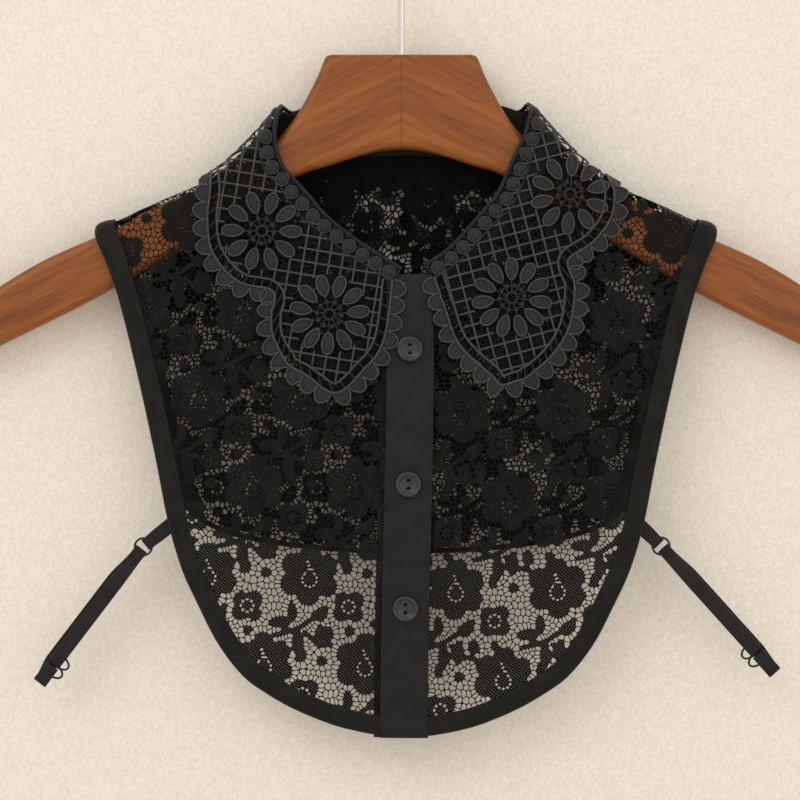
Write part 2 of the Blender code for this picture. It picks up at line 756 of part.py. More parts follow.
class CollarHalf:
    """One half of the guipure collar, laid out flat and then laid over the shoulder.

    The flat layout has the distance across and, upwards, the height; behind the ridge the height goes on
    rising with the distance along the cloth.
    """

    def __init__(self, name: str, sign: int, fold: list, cord: list, flowers: list, tilt: float):
        self.name = name
        self.sign = sign
        self.tilt = tilt
        self.fold = smooth_path([self.flat(*row) for row in fold], 3.5 * MM)
        self.cord = smooth_path([self.flat(*row) for row in cord + CORD_BACK], 1.5 * MM)
        self.flowers = flowers + FLOWERS_BACK

    def flat(self, across: float, height: float, side: int) -> tuple:
        """Flat place of a point given by millimetres across, its height and its side."""
        s = COLLAR.along(across * MM, height * MM, side)
        return (across * MM, COLLAR.ridge(across * MM) - s)

    def lies(self, p) -> Vector:
        """Place in space of a flat point, on the plain inner face."""
        s = COLLAR.ridge(p[0]) - p[1]
        over_placket = smoothstep((24.0 - abs(p[0] / MM)) / 12.0) * smoothstep(s / COLLAR.quarter - 1)
        inner = -GUIPURE / 2 + GUIPURE_LIFT * over_placket
        return COLLAR.point(self.sign * p[0], s, inner)

    def scalloped_edge(self) -> list:
        """The outer edge: a row of half-round scallops along the border cord."""
        cord = even_path(self.cord, max(2, round(len(self.cord) * 0.8)))
        length = sum((b - a).length for a, b in zip(cord, cord[1:]))
        scallops = round(length / SCALLOP_PITCH)
        samples = even_path(cord, 4 * scallops + 1)
        moved = []
        for i, p in enumerate(samples):
            bump = abs(math.sin(math.pi * i / 4)) ** 0.7
            along = (samples[min(i + 1, len(samples) - 1)] - samples[max(i - 1, 0)]).normalized()
            reach = SCALLOP_ROOT + SCALLOP_DEPTH * bump
            place = p + Vector((along.y, -along.x)) * reach
            if place.y > COLLAR.ridge(place.x):
                place.x = max(place.x, GAP)
            apart = all((place - q).length > 1.5 * MM for q in moved[-4:])
            if apart and min((place - q).length for q in self.cord) > 0.9 * reach:
                moved.append(place)
        return moved

    def net_gaps(self, edge: list) -> list:
        """The square gaps of the net that are clear of the border, the dots and the flowers."""
        gaps = []
        half = (NET_PITCH - NET_BAR) / 2
        for side, tilt, bottom in ((1, self.tilt, -275.0), (-1, 0.0, -180.0)):
            turn = Vector((math.cos(tilt), math.sin(tilt)))
            up = Vector((-turn.y, turn.x))
            for i in range(24):
                for j in range(-4, 34):
                    centre = turn * (i * NET_PITCH) + up * (j * NET_PITCH) + Vector((2.0, bottom)) * MM
                    corners = [centre + turn * a * half + up * b * half for a, b in SQUARE]
                    gap = self.net_gap(corners, side)
                    if gap and self.clear(gap, edge):
                        gaps.append(gap)
        return gaps

    def net_gap(self, corners: list, side: int) -> list:
        """One gap in the flat layout; the net in front runs on over the shoulder to the net behind, but stays
        uncut where it turns over the steep side of the neck."""
        if side > 0:
            downs = [COLLAR.ridge(p.x) - p.y for p in corners]
            if min(downs) > -COLLAR.quarter and not (min(downs) < COLLAR.quarter and corners[0].x < NET_STEEP):
                return corners
            return []
        if all(COLLAR.ridge(p.x) - p.y > COLLAR.roll + NET_BAR and p.x > 3 * NET_BAR for p in corners):
            return [Vector(self.flat(p.x / MM, p.y / MM, side)) for p in reversed(corners)]
        return []

    def clear(self, gap: list, edge: list) -> bool:
        """Whether a gap lies in the open net."""
        middle = (gap[0] + gap[2]) / 2
        if not all(inside(p, edge) for p in gap):
            return False
        if min((middle - p).length for p in self.cord) < NET_TO_CORD:
            return False
        if min((middle - p).length for p in self.fold) < NET_TO_FOLD:
            return False
        place = self.lies(middle)
        for across, height, side, _ in self.flowers:
            flower = self.lies(Vector(self.flat(across, height, side)))
            if (place - flower).length < FLOWER_RADIUS + NET_TO_FLOWER:
                return False
        return True

    def raised_points(self) -> list:
        """The padded petals and dots: flat places with their rise above the ground of the embroidery."""
        points = []
        for across, height, side, petals in self.flowers:
            for k in range(2 * petals):
                angle = math.tau * k / (2 * petals) + 0.1
                rise = PETAL_RISE if k % 2 == 0 else 0.0
                for radius in (PETAL_IN, PETAL_OUT):
                    x = across + radius / MM * math.cos(angle)
                    z = height + radius / MM * math.sin(angle)
                    points.append((Vector(self.flat(x, z, side)), rise))
        length = sum((b - a).length for a, b in zip(self.fold, self.fold[1:]))
        fold = even_path(self.fold, round(length / DOT_PITCH * 2))
        for i, p in enumerate(offset_path(fold, -DOT_INSET)):
            points.append((p, DOT_RISE if i % 2 else 0.0))
        return points

    def plain_points(self) -> list:
        """Points of the plain cloth, with the room each needs: rows closer together over the roll."""
        rows = [(COLLAR.quarter * k / PLAIN_TURNS, ROLL_STEP) for k in range(-PLAIN_TURNS, PLAIN_TURNS + 1)]
        for k in range(1, 12):
            rows += [(way * (COLLAR.quarter + PLAIN_STEP * k), PLAIN_STEP) for way in (-1, 1)]
        points = []
        for k, (s, step) in enumerate(rows):
            for i in range(20):
                across = (i + 0.5 * (k % 2)) * step
                place = Vector((across, COLLAR.ridge(across) - s))
                points.append((place, 1.8 * MM if step < PLAIN_STEP else 5.5 * MM))
        return points

    def build(self, look, collection):
        """Cut the flat piece, gaps and all, and lay it over the shoulder."""
        scallops = self.scalloped_edge()
        edge = self.fold[::-1] + scallops
        outline = [p for p in edge]
        gaps = self.net_gaps(outline)
        verts = list(outline)
        lines = [(k, (k + 1) % len(outline)) for k in range(len(outline))]
        for gap in gaps:
            k = len(verts)
            verts += gap
            lines += [(k, k + 1), (k + 1, k + 2), (k + 2, k + 3), (k + 3, k)]
        rises = {}
        for p, rise in self.raised_points():
            near = min((p - q).length for q in verts)
            if near > 1.2 * MM and inside(p, outline) and not any(inside(p, gap) for gap in gaps):
                rises[len(verts)] = rise
                verts.append(p)
        for p, clearance in self.plain_points():
            if inside(p, outline) and not any(inside(p, gap) for gap in gaps):
                if min((p - q).length for q in verts) > clearance:
                    verts.append(p)
        flat, _, faces, _, _, _ = delaunay_2d_cdt([v / MM for v in verts], lines, [], 0, 1e-4)
        kept = []
        for face in faces:
            middle = sum((flat[k] for k in face), Vector((0, 0))) / len(face) * MM
            if inside(middle, outline) and not any(inside(middle, gap) for gap in gaps):
                kept.append(face if self.sign > 0 else tuple(reversed(face)))
        mesh = bpy.data.meshes.new(self.name)
        mesh.from_pydata([self.lies(v * MM) for v in flat], [], kept)
        made = add_object(self.name, mesh, look, collection)
        work = bmesh.new()
        work.from_mesh(mesh)
        loose = [v for v in work.verts if not v.link_faces]
        bmesh.ops.delete(work, geom=loose, context="VERTS")
        work.to_mesh(mesh)
        work.free()
        full = GUIPURE + max(PETAL_RISE, DOT_RISE)
        group = made.vertex_groups.new(name="thickness")
        for v in mesh.vertices:
            group.add([v.index], GUIPURE / full, "REPLACE")
        raised = [(self.lies(verts[k]), rise) for k, rise in rises.items() if rise > 0]
        for place, rise in raised:
            near = min(mesh.vertices, key=lambda v: (v.co - place).length)
            group.add([near.index], (GUIPURE + rise) / full, "REPLACE")
        mesh.shade_smooth()
        mesh.set_sharp_from_angle(angle=math.radians(50))
        wall = made.modifiers.new("Wall", "SOLIDIFY")
        wall.thickness = full
        wall.offset = 1.0
        wall.vertex_group = group.name
        wall.use_even_offset = False
        return made


def build_button(name: str, height: float, look, collection, cutters):
    """A turned button with two holes and a rim."""
    r, t = BUTTON_RADIUS, BUTTON_THICK
    profile = [(0.0, 0.62 * t), (0.6 * r, 0.62 * t), (0.74 * r, t), (0.9 * r, t), (r, 0.6 * t), (0.93 * r, 0.1 * t), (0.0, 0.0)]
    mesh = bpy.data.meshes.new(name)
    mesh.from_pydata([(x, 0.0, z) for x, z in profile], [(k, k + 1) for k in range(len(profile) - 1)], [])
    button = add_object(name, mesh, look, collection)
    turn = button.modifiers.new("Turn", "SCREW")
    turn.steps = 20
    turn.render_steps = 20
    turn.use_merge_vertices = True
    turn.merge_threshold = 0.00001
    turn.use_smooth_shade = True
    across = placket_left(height) + PLACKET_WIDTH / 2
    seat = BASE.point(across, BASE.along(across, height, 1), PLACKET_LIFT + PLACKET / 2 + GAP)
    button.location = seat
    button.rotation_euler.x = math.pi / 2
    for k, way in enumerate((-1, 1)):
        work = bmesh.new()
        bmesh.ops.create_cone(
            work, cap_ends=True, segments=8, radius1=BUTTON_HOLE, radius2=BUTTON_HOLE, depth=8 * MM
        )
        hole_mesh = bpy.data.meshes.new(f"{name}_hole_{k}")
        work.to_mesh(hole_mesh)
        work.free()
        hole = bpy.data.objects.new(hole_mesh.name, hole_mesh)
        hole.location = seat + Vector((0.0, 0.0, way * BUTTON_HOLE_SPACING / 2))
        hole.rotation_euler.x = math.pi / 2
        hole.hide_render = True
        hole.display_type = "WIRE"
        cutters.objects.link(hole)
        cut = button.modifiers.new(f"Hole {k + 1}", "BOOLEAN")
        cut.operation = "DIFFERENCE"
        cut.object = hole
    return button


class Strap:
    """One adjustable strap: tab, ring, doubled elastic and slider, lying out to the side."""

    def __init__(self, side: str, root: tuple, ring: tuple, slider: tuple, end: tuple):
        self.side = side
        self.root, self.ring, self.slider, self.end = (Vector((x * MM, 0.0, z * MM)) for x, z in (root, ring, slider, end))

    def tape_back(self, start: Vector) -> float:
        """Y of the tape's inner face where the tab is sewn behind it."""
        faces = []
        for k in range(5):
            p = start.lerp(self.root, k / 4)
            across = p.x - CENTRE_X
            faces.append(BASE.point(across, BASE.along(across, p.z, 1), -TAPE_LIFT).y + TAPE / 2)
        return max(faces)

    def strip(self, name: str, start: Vector, direction: Vector, loop: list, width: list, look, collection):
        """A flat strip along a path of (distance, depth) pairs, with its width at each pair."""
        across = Vector((-direction.z, 0.0, direction.x))
        rows = []
        for (far, depth), wide in zip(loop, width):
            middle = start + direction * far + Vector((0.0, depth, 0.0))
            rows.append([middle - across * wide / 2, middle, middle + across * wide / 2])
        return add_cloth(name, rows, STRAP_THICK, look, collection)

    def build(self, cloth_look, metal_look, collection):
        """Make the strap's four pieces."""
        lift = RING_WIRE / 2 + GAP + STRAP_THICK / 2
        tab_way = (self.ring - self.root).normalized()
        start = self.root - tab_way * TAB_UNDER_TAPE
        tab_long = (self.ring - start).length
        plane = Vector((0.0, self.tape_back(start) + 1.5 * GAP + lift + STRAP_THICK / 2, 0.0))
        fold_at = 2.9 * MM
        narrow = 4.6 * MM

        def fold(tip: float, way: int) -> list:
            turns = [(tip + way * lift * math.sin(a), -lift * math.cos(a)) for a in (0.0, math.pi / 4, math.pi / 2)]
            return turns + [(x, -y) for x, y in turns[-2::-1]]

        tip = tab_long - fold_at
        loop = [(0.0, -lift), (0.5 * tip, -lift)] + fold(tip, 1) + [(0.5 * tip, lift), (0.0, lift)]
        wide = [STRAP_WIDTH] * 2 + [narrow] * 5 + [STRAP_WIDTH] * 2
        self.strip(f"strap_tab_{self.side}", start + plane, tab_way, loop, wide, cloth_look, collection)

        turns = [math.tau * k / 18 for k in range(18)]
        circle = [(RING_RADIUS * math.cos(a), 0.0, RING_RADIUS * math.sin(a)) for a in turns]
        ring = curve_object(f"strap_ring_{self.side}", [circle], metal_look, collection, cyclic=True)
        ring.data.bevel_depth = RING_WIRE / 2
        ring.data.bevel_resolution = 1
        ring.location = self.ring + plane

        way = (self.slider - self.ring).normalized()
        far = (self.slider - self.ring).length
        total = (self.end - self.ring).length
        near = fold_at
        loop = [(far + 1.0 * MM, lift), (0.66 * far, lift), (0.33 * far, lift)]
        loop += [(x, -y) for x, y in fold(near, -1)]
        loop += [(0.33 * far, -lift), (0.66 * far, -lift), (far, -lift), (total - lift, -lift)]
        loop += [(total, 0.0), (total - lift, lift), (far + 2.5 * MM, lift)]
        wide = [STRAP_WIDTH] * 3 + [narrow] * 5 + [STRAP_WIDTH] * 7
        self.strip(f"strap_elastic_{self.side}", self.ring + plane, way, loop, wide, cloth_look, collection)
        self.build_slider(way, plane, metal_look, collection)

    def build_slider(self, way: Vector, plane: Vector, look, collection):
        """The figure-of-eight slider: a flat plate with two slots, between the strap's two layers."""

        def oval(centre: float, half_wide: float, half_long: float) -> list:
            turns = [math.tau * k / 16 for k in range(16)]
            return [(centre + half_long * math.cos(a), half_wide * math.sin(a)) for a in turns]

        lobe, reach = 2.6 * MM, 5.4 * MM
        left = [p for p in oval(-lobe, reach, lobe + 0.6 * MM) if p[0] < -0.4 * MM]
        right = [p for p in oval(lobe, reach, lobe + 0.6 * MM) if p[0] > 0.4 * MM]
        left.sort(key=lambda p: math.atan2(p[1], p[0] + lobe) % math.tau)
        right.sort(key=lambda p: math.atan2(p[1], p[0] - lobe))
        outline = right + left
        slots = [oval(c, reach - 1.2 * MM, lobe - 0.7 * MM) for c in (-lobe, lobe)]
        plate = curve_object(f"strap_slider_{self.side}", [outline] + slots, look, collection, cyclic=True, flat=True)
        plate.data.fill_mode = "BOTH"
        plate.data.extrude = RING_WIRE / 2
        plate.rotation_euler = (math.pi / 2, -math.atan2(way.z, way.x), 0.0)
        plate.rotation_mode = "XYZ"
        plate.location = self.slider + plane + way * 1.5 * MM


def new_collection(name: str):
    """A collection linked to the scene."""
    made = bpy.data.collections.new(name)
    bpy.context.scene.collection.children.link(made)
    return made


def main():
    """Build every piece."""
    for old in list(bpy.data.objects):
        bpy.data.objects.remove(old)
    parts = new_collection(OBJECT_NAME)
    cutters = new_collection("cutters")
    wood = material("hanger wood", (0.34, 0.12, 0.045), 0.42)
    chrome = material("chromed wire", (0.75, 0.74, 0.72), 0.18, 1.0)
    lace = material("black lace", (0.02, 0.02, 0.02), 0.8)
    tape = material("black cotton tape", (0.03, 0.03, 0.03), 0.7)
    guipure = material("guipure embroidery", (0.035, 0.035, 0.035), 0.75)
    plastic = material("black button", (0.02, 0.02, 0.02), 0.35)
    metal = material("black coated metal", (0.03, 0.03, 0.03), 0.3, 0.8)
    elastic = material("black elastic", (0.03, 0.03, 0.03), 0.75)

    build_wood(wood, parts, cutters)
    build_hook(chrome, parts)
    build_front_panel("front_panel_left", -1, lace, parts)
    build_front_panel("front_panel_right", 1, lace, parts)
    build_back_panel(lace, parts)
    build_front_tape("front_tape_left", -1, tape, parts)
    build_front_tape("front_tape_right", 1, tape, parts)
    build_back_tape(tape, parts)
    build_placket("placket_top", 0.0, PLACKET_LIFT, tape, parts)
    build_placket("placket_under", -PLACKET_STEP, -PLACKET_LIFT, tape, parts)
    build_neck_band(tape, parts)
    CollarHalf("collar_left", -1, FOLD_LEFT, CORD_LEFT, FLOWERS_LEFT, NET_TILT_LEFT).build(guipure, parts)
    CollarHalf("collar_right", 1, FOLD_RIGHT, CORD_RIGHT, FLOWERS_RIGHT, NET_TILT_RIGHT).build(guipure, parts)
    for number, height in enumerate(BUTTON_HEIGHTS, 1):
        build_button(f"button_{number}", height, plastic, parts, cutters)
    Strap("left", (-112.6, -322.2), (-126.1, -333.0), (-168.9, -389.1), (-178.0, -398.2)).build(elastic, metal, parts)
    Strap("right", (115.8, -322.0), (126.7, -332.6), (172.3, -383.2), (181.4, -394.9)).build(elastic, metal, parts)


main()
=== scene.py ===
"""Dress of a black lace false collar with a guipure collar, buttoned on a shaped wooden hanger.

Lengths are written in millimetres times MM, so the scene is in metres. Z is up, X runs to the right
of someone facing the front, and the front faces -Y. A point of the cloth is named by its distance
across from the garment's centre and its distance along the cloth from the ridge line over the
hanger's arms, positive in front and negative behind. A pattern is laid out in the plane of the
hanging cloth: distance across, and the ridge's height less the distance along.
"""

import logging
import math
import random
from dataclasses import dataclass, field
from enum import Enum
from typing import Callable, Iterable, Optional

import bmesh
import bpy
import numpy as np
from mathutils import Matrix, Vector
from mathutils.geometry import delaunay_2d_cdt
from mathutils.kdtree import KDTree

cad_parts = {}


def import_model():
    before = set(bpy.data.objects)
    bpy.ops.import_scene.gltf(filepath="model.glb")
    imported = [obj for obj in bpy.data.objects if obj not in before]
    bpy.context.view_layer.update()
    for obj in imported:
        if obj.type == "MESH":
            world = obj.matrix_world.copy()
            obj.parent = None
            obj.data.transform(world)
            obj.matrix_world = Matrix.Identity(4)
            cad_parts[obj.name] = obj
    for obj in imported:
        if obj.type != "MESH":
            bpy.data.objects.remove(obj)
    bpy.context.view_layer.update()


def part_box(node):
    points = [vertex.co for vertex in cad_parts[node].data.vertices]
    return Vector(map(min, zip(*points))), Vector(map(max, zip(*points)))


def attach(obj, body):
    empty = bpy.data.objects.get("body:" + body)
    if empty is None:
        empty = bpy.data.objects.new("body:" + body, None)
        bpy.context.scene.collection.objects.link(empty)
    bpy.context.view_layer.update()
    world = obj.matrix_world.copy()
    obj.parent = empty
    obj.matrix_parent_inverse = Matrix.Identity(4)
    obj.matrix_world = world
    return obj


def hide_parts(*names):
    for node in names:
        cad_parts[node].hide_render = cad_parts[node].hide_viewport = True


MM = 0.001
LOG = logging.getLogger("false_collar")

# The cloth and how it lies, as in the solids
CENTRE_X = 2.2 * MM
BASE_ROLL = 8.6 * MM
COLLAR_ROLL = 10.9 * MM
RIDGE_SLANT = 1.12
FRONT_FULLNESS = 2.6
BACK_FULLNESS = 1.8
FOLD_WIDTH = 96.0
FOLD_DEPTH = 0.9
RIPPLE_WIDTH = 61.0
RIPPLE_DEPTH = 0.4
INSET_BLEND = 25.0 * MM
PLACKET_WIDTH = 23.5 * MM
PLACKET_STEP = 3.0 * MM
PLACKET_LIFT = 1.5 * MM
PLACKET_TOP = -207.0 * MM
PLACKET_OVER_TOP = PLACKET_TOP + 7 * MM
PLACKET_FOOT = -425.7 * MM
BUTTON_HEIGHTS = (-236.4, -302.3, -362.7)
NET_TILT_LEFT = math.radians(9.5)
NET_TILT_RIGHT = math.radians(15.0)

# Height of each layer's ridge line, by distance from the garment's centre
RIDGE = [
    # across, base, collar
    (0.0, -106.0, -104.0),
    (44.0, -106.0, -104.0),
    (52.0, -110.0, -108.0),
    (58.0, -117.0, -114.3),
    (62.0, -120.8, -117.4),
    (66.5, -125.2, -121.6),
    (79.0, -138.2, -135.0),
    (91.0, -149.2, -146.0),
    (103.0, -156.4, -153.9),
    (115.0, -161.5, -159.2),
    (127.3, -166.8, -164.5),
    (139.5, -172.6, -170.3),
    (153.0, -177.4, -175.1),
]

# Outer edge of one front half, from the shoulder's tip round to the centre of the hem: across, height
FRONT_EDGE = [
    (152.4, -176.8),
    (151.6, -182.5),
    (147.0, -193.0),
    (140.2, -212.5),
    (130.5, -251.5),
    (122.0, -290.5),
    (116.2, -320.0),
    (109.6, -343.0),
    (101.5, -361.0),
    (91.5, -380.3),
    (79.3, -395.9),
    (67.0, -404.9),
    (54.9, -411.8),
    (42.7, -417.2),
    (30.5, -421.3),
    (14.0, -424.6),
    (0.0, -425.7),
]

# Outer edge of the back, half of it: across, height
BACK_EDGE = [
    (152.4, -176.8),
    (150.6, -182.5),
    (145.0, -193.0),
    (137.5, -212.5),
    (127.5, -251.5),
    (118.5, -290.5),
    (112.0, -310.0),
    (103.0, -320.5),
    (86.0, -328.5),
    (62.0, -333.5),
    (32.0, -336.5),
    (0.0, -337.5),
]

# Seam between the neck band and the panels, half of it: across, height, side
NECK_SEAM = [
    (10.5, -205.6, 1),
    (25.0, -197.0, 1),
    (45.0, -181.0, 1),
    (61.0, -163.0, 1),
    (70.5, -146.0, 1),
    (76.0, -135.2, 1),
    (71.0, -141.0, -1),
    (54.0, -142.0, -1),
    (28.0, -141.0, -1),
    (0.0, -140.5, -1),
]

# Fold line of the collar, from the centre front to the shoulder and round the back:
# across, height, side
FOLD_LEFT = [
    (2.0, -196.4, 1),
    (12.7, -189.6, 1),
    (24.9, -181.6, 1),
    (41.0, -168.0, 1),
    (53.2, -153.8, 1),
    (62.5, -138.5, 1),
    (61.2, -117.0, 1),
    (53.0, -118.0, -1),
    (28.0, -119.0, -1),
    (0.3, -119.5, -1),
]
FOLD_RIGHT = [
    (9.3, -194.6, 1),
    (21.5, -185.7, 1),
    (37.7, -167.8, 1),
    (45.0, -158.0, 1),
    (54.0, -138.5, 1),
    (58.5, -127.0, 1),
    (60.0, -116.6, 1),
    (53.0, -118.0, -1),
    (28.0, -119.0, -1),
    (0.3, -119.5, -1),
]

# Outer border cord of the guipure collar: two lobes in front, then two behind: across, height, side
CORD_LEFT = [
    (6.6, -202.7, 1),
    (8.8, -222.3, 1),
    (12.0, -235.3, 1),
    (19.2, -245.1, 1),
    (35.4, -257.9, 1),
    (53.7, -246.3, 1),
    (64.0, -232.0, 1),
    (65.7, -220.3, 1),
    (64.7, -208.6, 1),
    (81.8, -203.5, 1),
    (94.0, -189.7, 1),
    (96.8, -173.5, 1),
    (95.2, -155.6, 1),
]
CORD_RIGHT = [
    (13.7, -201.1, 1),
    (19.2, -217.4, 1),
    (26.0, -234.3, 1),
    (41.0, -248.6, 1),
    (48.8, -253.8, 1),
    (65.7, -244.7, 1),
    (78.7, -227.8, 1),
    (82.2, -206.5, 1),
    (79.0, -193.2, 1),
    (92.0, -183.5, 1),
    (100.0, -172.0, 1),
    (101.5, -160.0, 1),
    (99.0, -153.2, 1),
]
CORD_BACK = [
    (95.5, -163.0, -1),
    (88.5, -176.0, -1),
    (72.0, -182.5, -1),
    (56.0, -177.0, -1),
    (47.0, -168.0, -1),
    (39.0, -176.0, -1),
    (24.0, -181.5, -1),
    (9.0, -177.0, -1),
    (0.3, -168.0, -1),
]

# Hanger outline, half of it: across, height
HANGER_TOP = [
    (34.5, -92.0),
    (36.8, -92.9),
    (38.6, -96.5),
    (41.0, -102.5),
    (45.0, -110.5),
    (50.5, -120.5),
    (57.5, -130.0),
    (66.0, -138.5),
    (75.0, -144.5),
    (90.0, -152.5),
    (105.0, -160.0),
    (115.0, -164.3),
    (125.0, -168.6),
    (138.0, -176.4),
    (145.0, -179.8),
    (151.0, -182.0),
    (175.0, -192.8),
    (196.0, -205.2),
    (212.0, -217.0),
    (220.5, -226.0),
    (222.8, -234.0),
    (220.0, -241.5),
    (212.5, -242.6),
]
HANGER_UNDER = [
    (195.0, -233.8),
    (157.0, -215.0),
    (125.0, -197.2),
    (100.0, -182.0),
    (75.0, -166.0),
    (51.0, -151.6),
    (33.0, -145.6),
    (20.0, -141.4),
    (9.0, -139.0),
    (0.0, -138.4),
]

# Flowers of the collar's halves: across, height, side, petals, turn in degrees
FLOWERS_LEFT = [
    (37.3, -219.6, 1, 11, 175.0),
    (70.2, -179.0, 1, 10, 181.0),
]
FLOWERS_RIGHT = [
    (51.5, -211.5, 1, 11, -8.0),
    (80.0, -161.1, 1, 10, 14.0),
]
FLOWERS_BACK = [
    (70.0, -158.5, -1, 10, 0.0),
    (24.0, -157.0, -1, 11, 0.0),
]


def linear(colour: str) -> tuple[float, float, float, float]:
    """Turn an sRGB hex colour into linear light.

    Args:
        colour: Six hex digits after a hash sign.

    Returns:
        Red, green, blue and an alpha of one.
    """
    parts = [int(colour[k : k + 2], 16) / 255.0 for k in (1, 3, 5)]
    bright = [c / 12.92 if c <= 0.04045 else ((c + 0.055) / 1.055) ** 2.4 for c in parts]
    return (bright[0], bright[1], bright[2], 1.0)


def add_node(
    tree: bpy.types.NodeTree,
    kind: str,
    settings: Optional[dict] = None,
    values: Optional[dict] = None,
    links: Optional[dict] = None,
) -> bpy.types.Node:
    """Add a shader node.

    Args:
        tree: Node tree of the material.
        kind: Blender's name for the node.
        settings: Properties of the node by name.
        values: Input values by socket.
        links: Output sockets to join to the node's inputs, by input socket.

    Returns:
        The node.
    """
    node = tree.nodes.new(kind)
    for key, value in (settings or {}).items():
        setattr(node, key, value)
    for key, value in (values or {}).items():
        node.inputs[key].default_value = value
    for key, source in (links or {}).items():
        tree.links.new(source, node.inputs[key])
    return node


def new_material(name: str, values: dict) -> tuple:
    """Make a material.

    Args:
        name: Its name.
        values: Values of the Principled shader's own sockets.

    Returns:
        The material, its node tree and its Principled shader.
    """
    made = bpy.data.materials.new(name)
    made.use_nodes = True
    tree = made.node_tree
    shader = tree.nodes["Principled BSDF"]
    for key, value in values.items():
        shader.inputs[key].default_value = value
    return made, tree, shader


def ramp(tree, factor, stops: list) -> object:
    """Add a colour ramp.

    Args:
        tree: Node tree of the material.
        factor: Output socket that drives it.
        stops: Pairs of position and linear colour.

    Returns:
        The colour output.
    """
    node = add_node(tree, "ShaderNodeValToRGB", links={"Fac": factor})
    while len(node.color_ramp.elements) < len(stops):
        node.color_ramp.elements.new(0.5)
    for element, (place, colour) in zip(node.color_ramp.elements, stops):
        element.position = place
        element.color = colour
    return node.outputs["Color"]


@dataclass(frozen=True)
class StainedBeech:
    """Beech stained chestnut and lacquered: long fine grain, darker pores, a soft satin shine.

    The two halves meet in a glued joint at the centre, and the grain of the neck runs in a chevron.
    """

    pale: str = "#935620"
    middle: str = "#824717"
    dark: str = "#6c3812"
    joint: str = "#693415"
    grain_width: float = 2.6 * MM
    slope: float = 0.5

    def make(self) -> bpy.types.Material:
        """Build the material."""
        made, tree, shader = new_material(
            "stained_beech",
            {"Roughness": 0.38, "Specular IOR Level": 0.3, "Coat Weight": 0.08, "Coat Roughness": 0.25},
        )
        place = add_node(tree, "ShaderNodeTexCoord").outputs["Object"]
        split = add_node(tree, "ShaderNodeSeparateXYZ", links={0: place})
        mirror = add_node(
            tree, "ShaderNodeMath", {"operation": "ABSOLUTE"}, links={0: split.outputs["X"]}
        )
        slant = add_node(
            tree, "ShaderNodeMath", {"operation": "MULTIPLY"}, {1: self.slope}, {0: mirror.outputs[0]}
        )
        height = add_node(
            tree,
            "ShaderNodeMath",
            {"operation": "ADD"},
            links={0: split.outputs["Z"], 1: slant.outputs[0]},
        )
        along = add_node(
            tree,
            "ShaderNodeCombineXYZ",
            links={"X": mirror.outputs[0], "Y": split.outputs["Y"], "Z": height.outputs[0]},
        )
        stretch = add_node(
            tree,
            "ShaderNodeMapping",
            values={"Scale": (0.09, 1.0, 1.0)},
            links={"Vector": along.outputs[0]},
        )
        grain = add_node(
            tree,
            "ShaderNodeTexNoise",
            values={
                "Scale": 1.0 / self.grain_width,
                "Detail": 5.0,
                "Roughness": 0.62,
                "Distortion": 0.25,
            },
            links={"Vector": stretch.outputs[0]},
        )
        broad = add_node(
            tree, "ShaderNodeTexNoise", values={
                "Scale": 55.0,
                "Detail": 2.0,
            }, links={"Vector": stretch.outputs[0]}
        )
        both = add_node(
            tree,
            "ShaderNodeMath",
            {"operation": "MULTIPLY_ADD"},
            {1: 0.55},
            {0: broad.outputs["Fac"], 2: grain.outputs["Fac"]},
        )
        colour = ramp(
            tree, both.outputs[0], [
                (0.56, linear(self.dark)), (0.76, linear(self.middle)), (0.96, linear(self.pale))
            ]
        )
        line = add_node(
            tree, "ShaderNodeMath", {"operation": "LESS_THAN"}, {1: 0.22 * MM}, {0: mirror.outputs[0]}
        )
        mixed = add_node(
            tree, "ShaderNodeMix", {"data_type": "RGBA"}, {7: linear(self.joint)}, {
                0: line.outputs[0],
                6: colour,
            }
        )
        tree.links.new(mixed.outputs[2], shader.inputs["Base Color"])
        bump = add_node(
            tree, "ShaderNodeBump", values={
                "Strength": 0.12,
                "Distance": 0.3 * MM,
            }, links={"Height": grain.outputs["Fac"]}
        )
        tree.links.new(bump.outputs[0], shader.inputs["Normal"])
        return made


@dataclass(frozen=True)
class ChromedSteel:
    """Steel wire, bright chrome plated: a clean mirror with faint drawing marks."""

    colour: str = "#d9d8d5"

    def make(self) -> bpy.types.Material:
        """Build the material."""
        made, tree, shader = new_material(
            "chromed_steel", {"Base Color": linear(self.colour), "Metallic": 1.0}
        )
        place = add_node(tree, "ShaderNodeTexCoord").outputs["Object"]
        noise = add_node(tree, "ShaderNodeTexNoise", values={"Scale": 700.0}, links={"Vector": place})
        rough = add_node(
            tree, "ShaderNodeMapRange", values={
                "To Min": 0.12,
                "To Max": 0.24,
            }, links={"Value": noise.outputs["Fac"]}
        )
        tree.links.new(rough.outputs[0], shader.inputs["Roughness"])
        return made


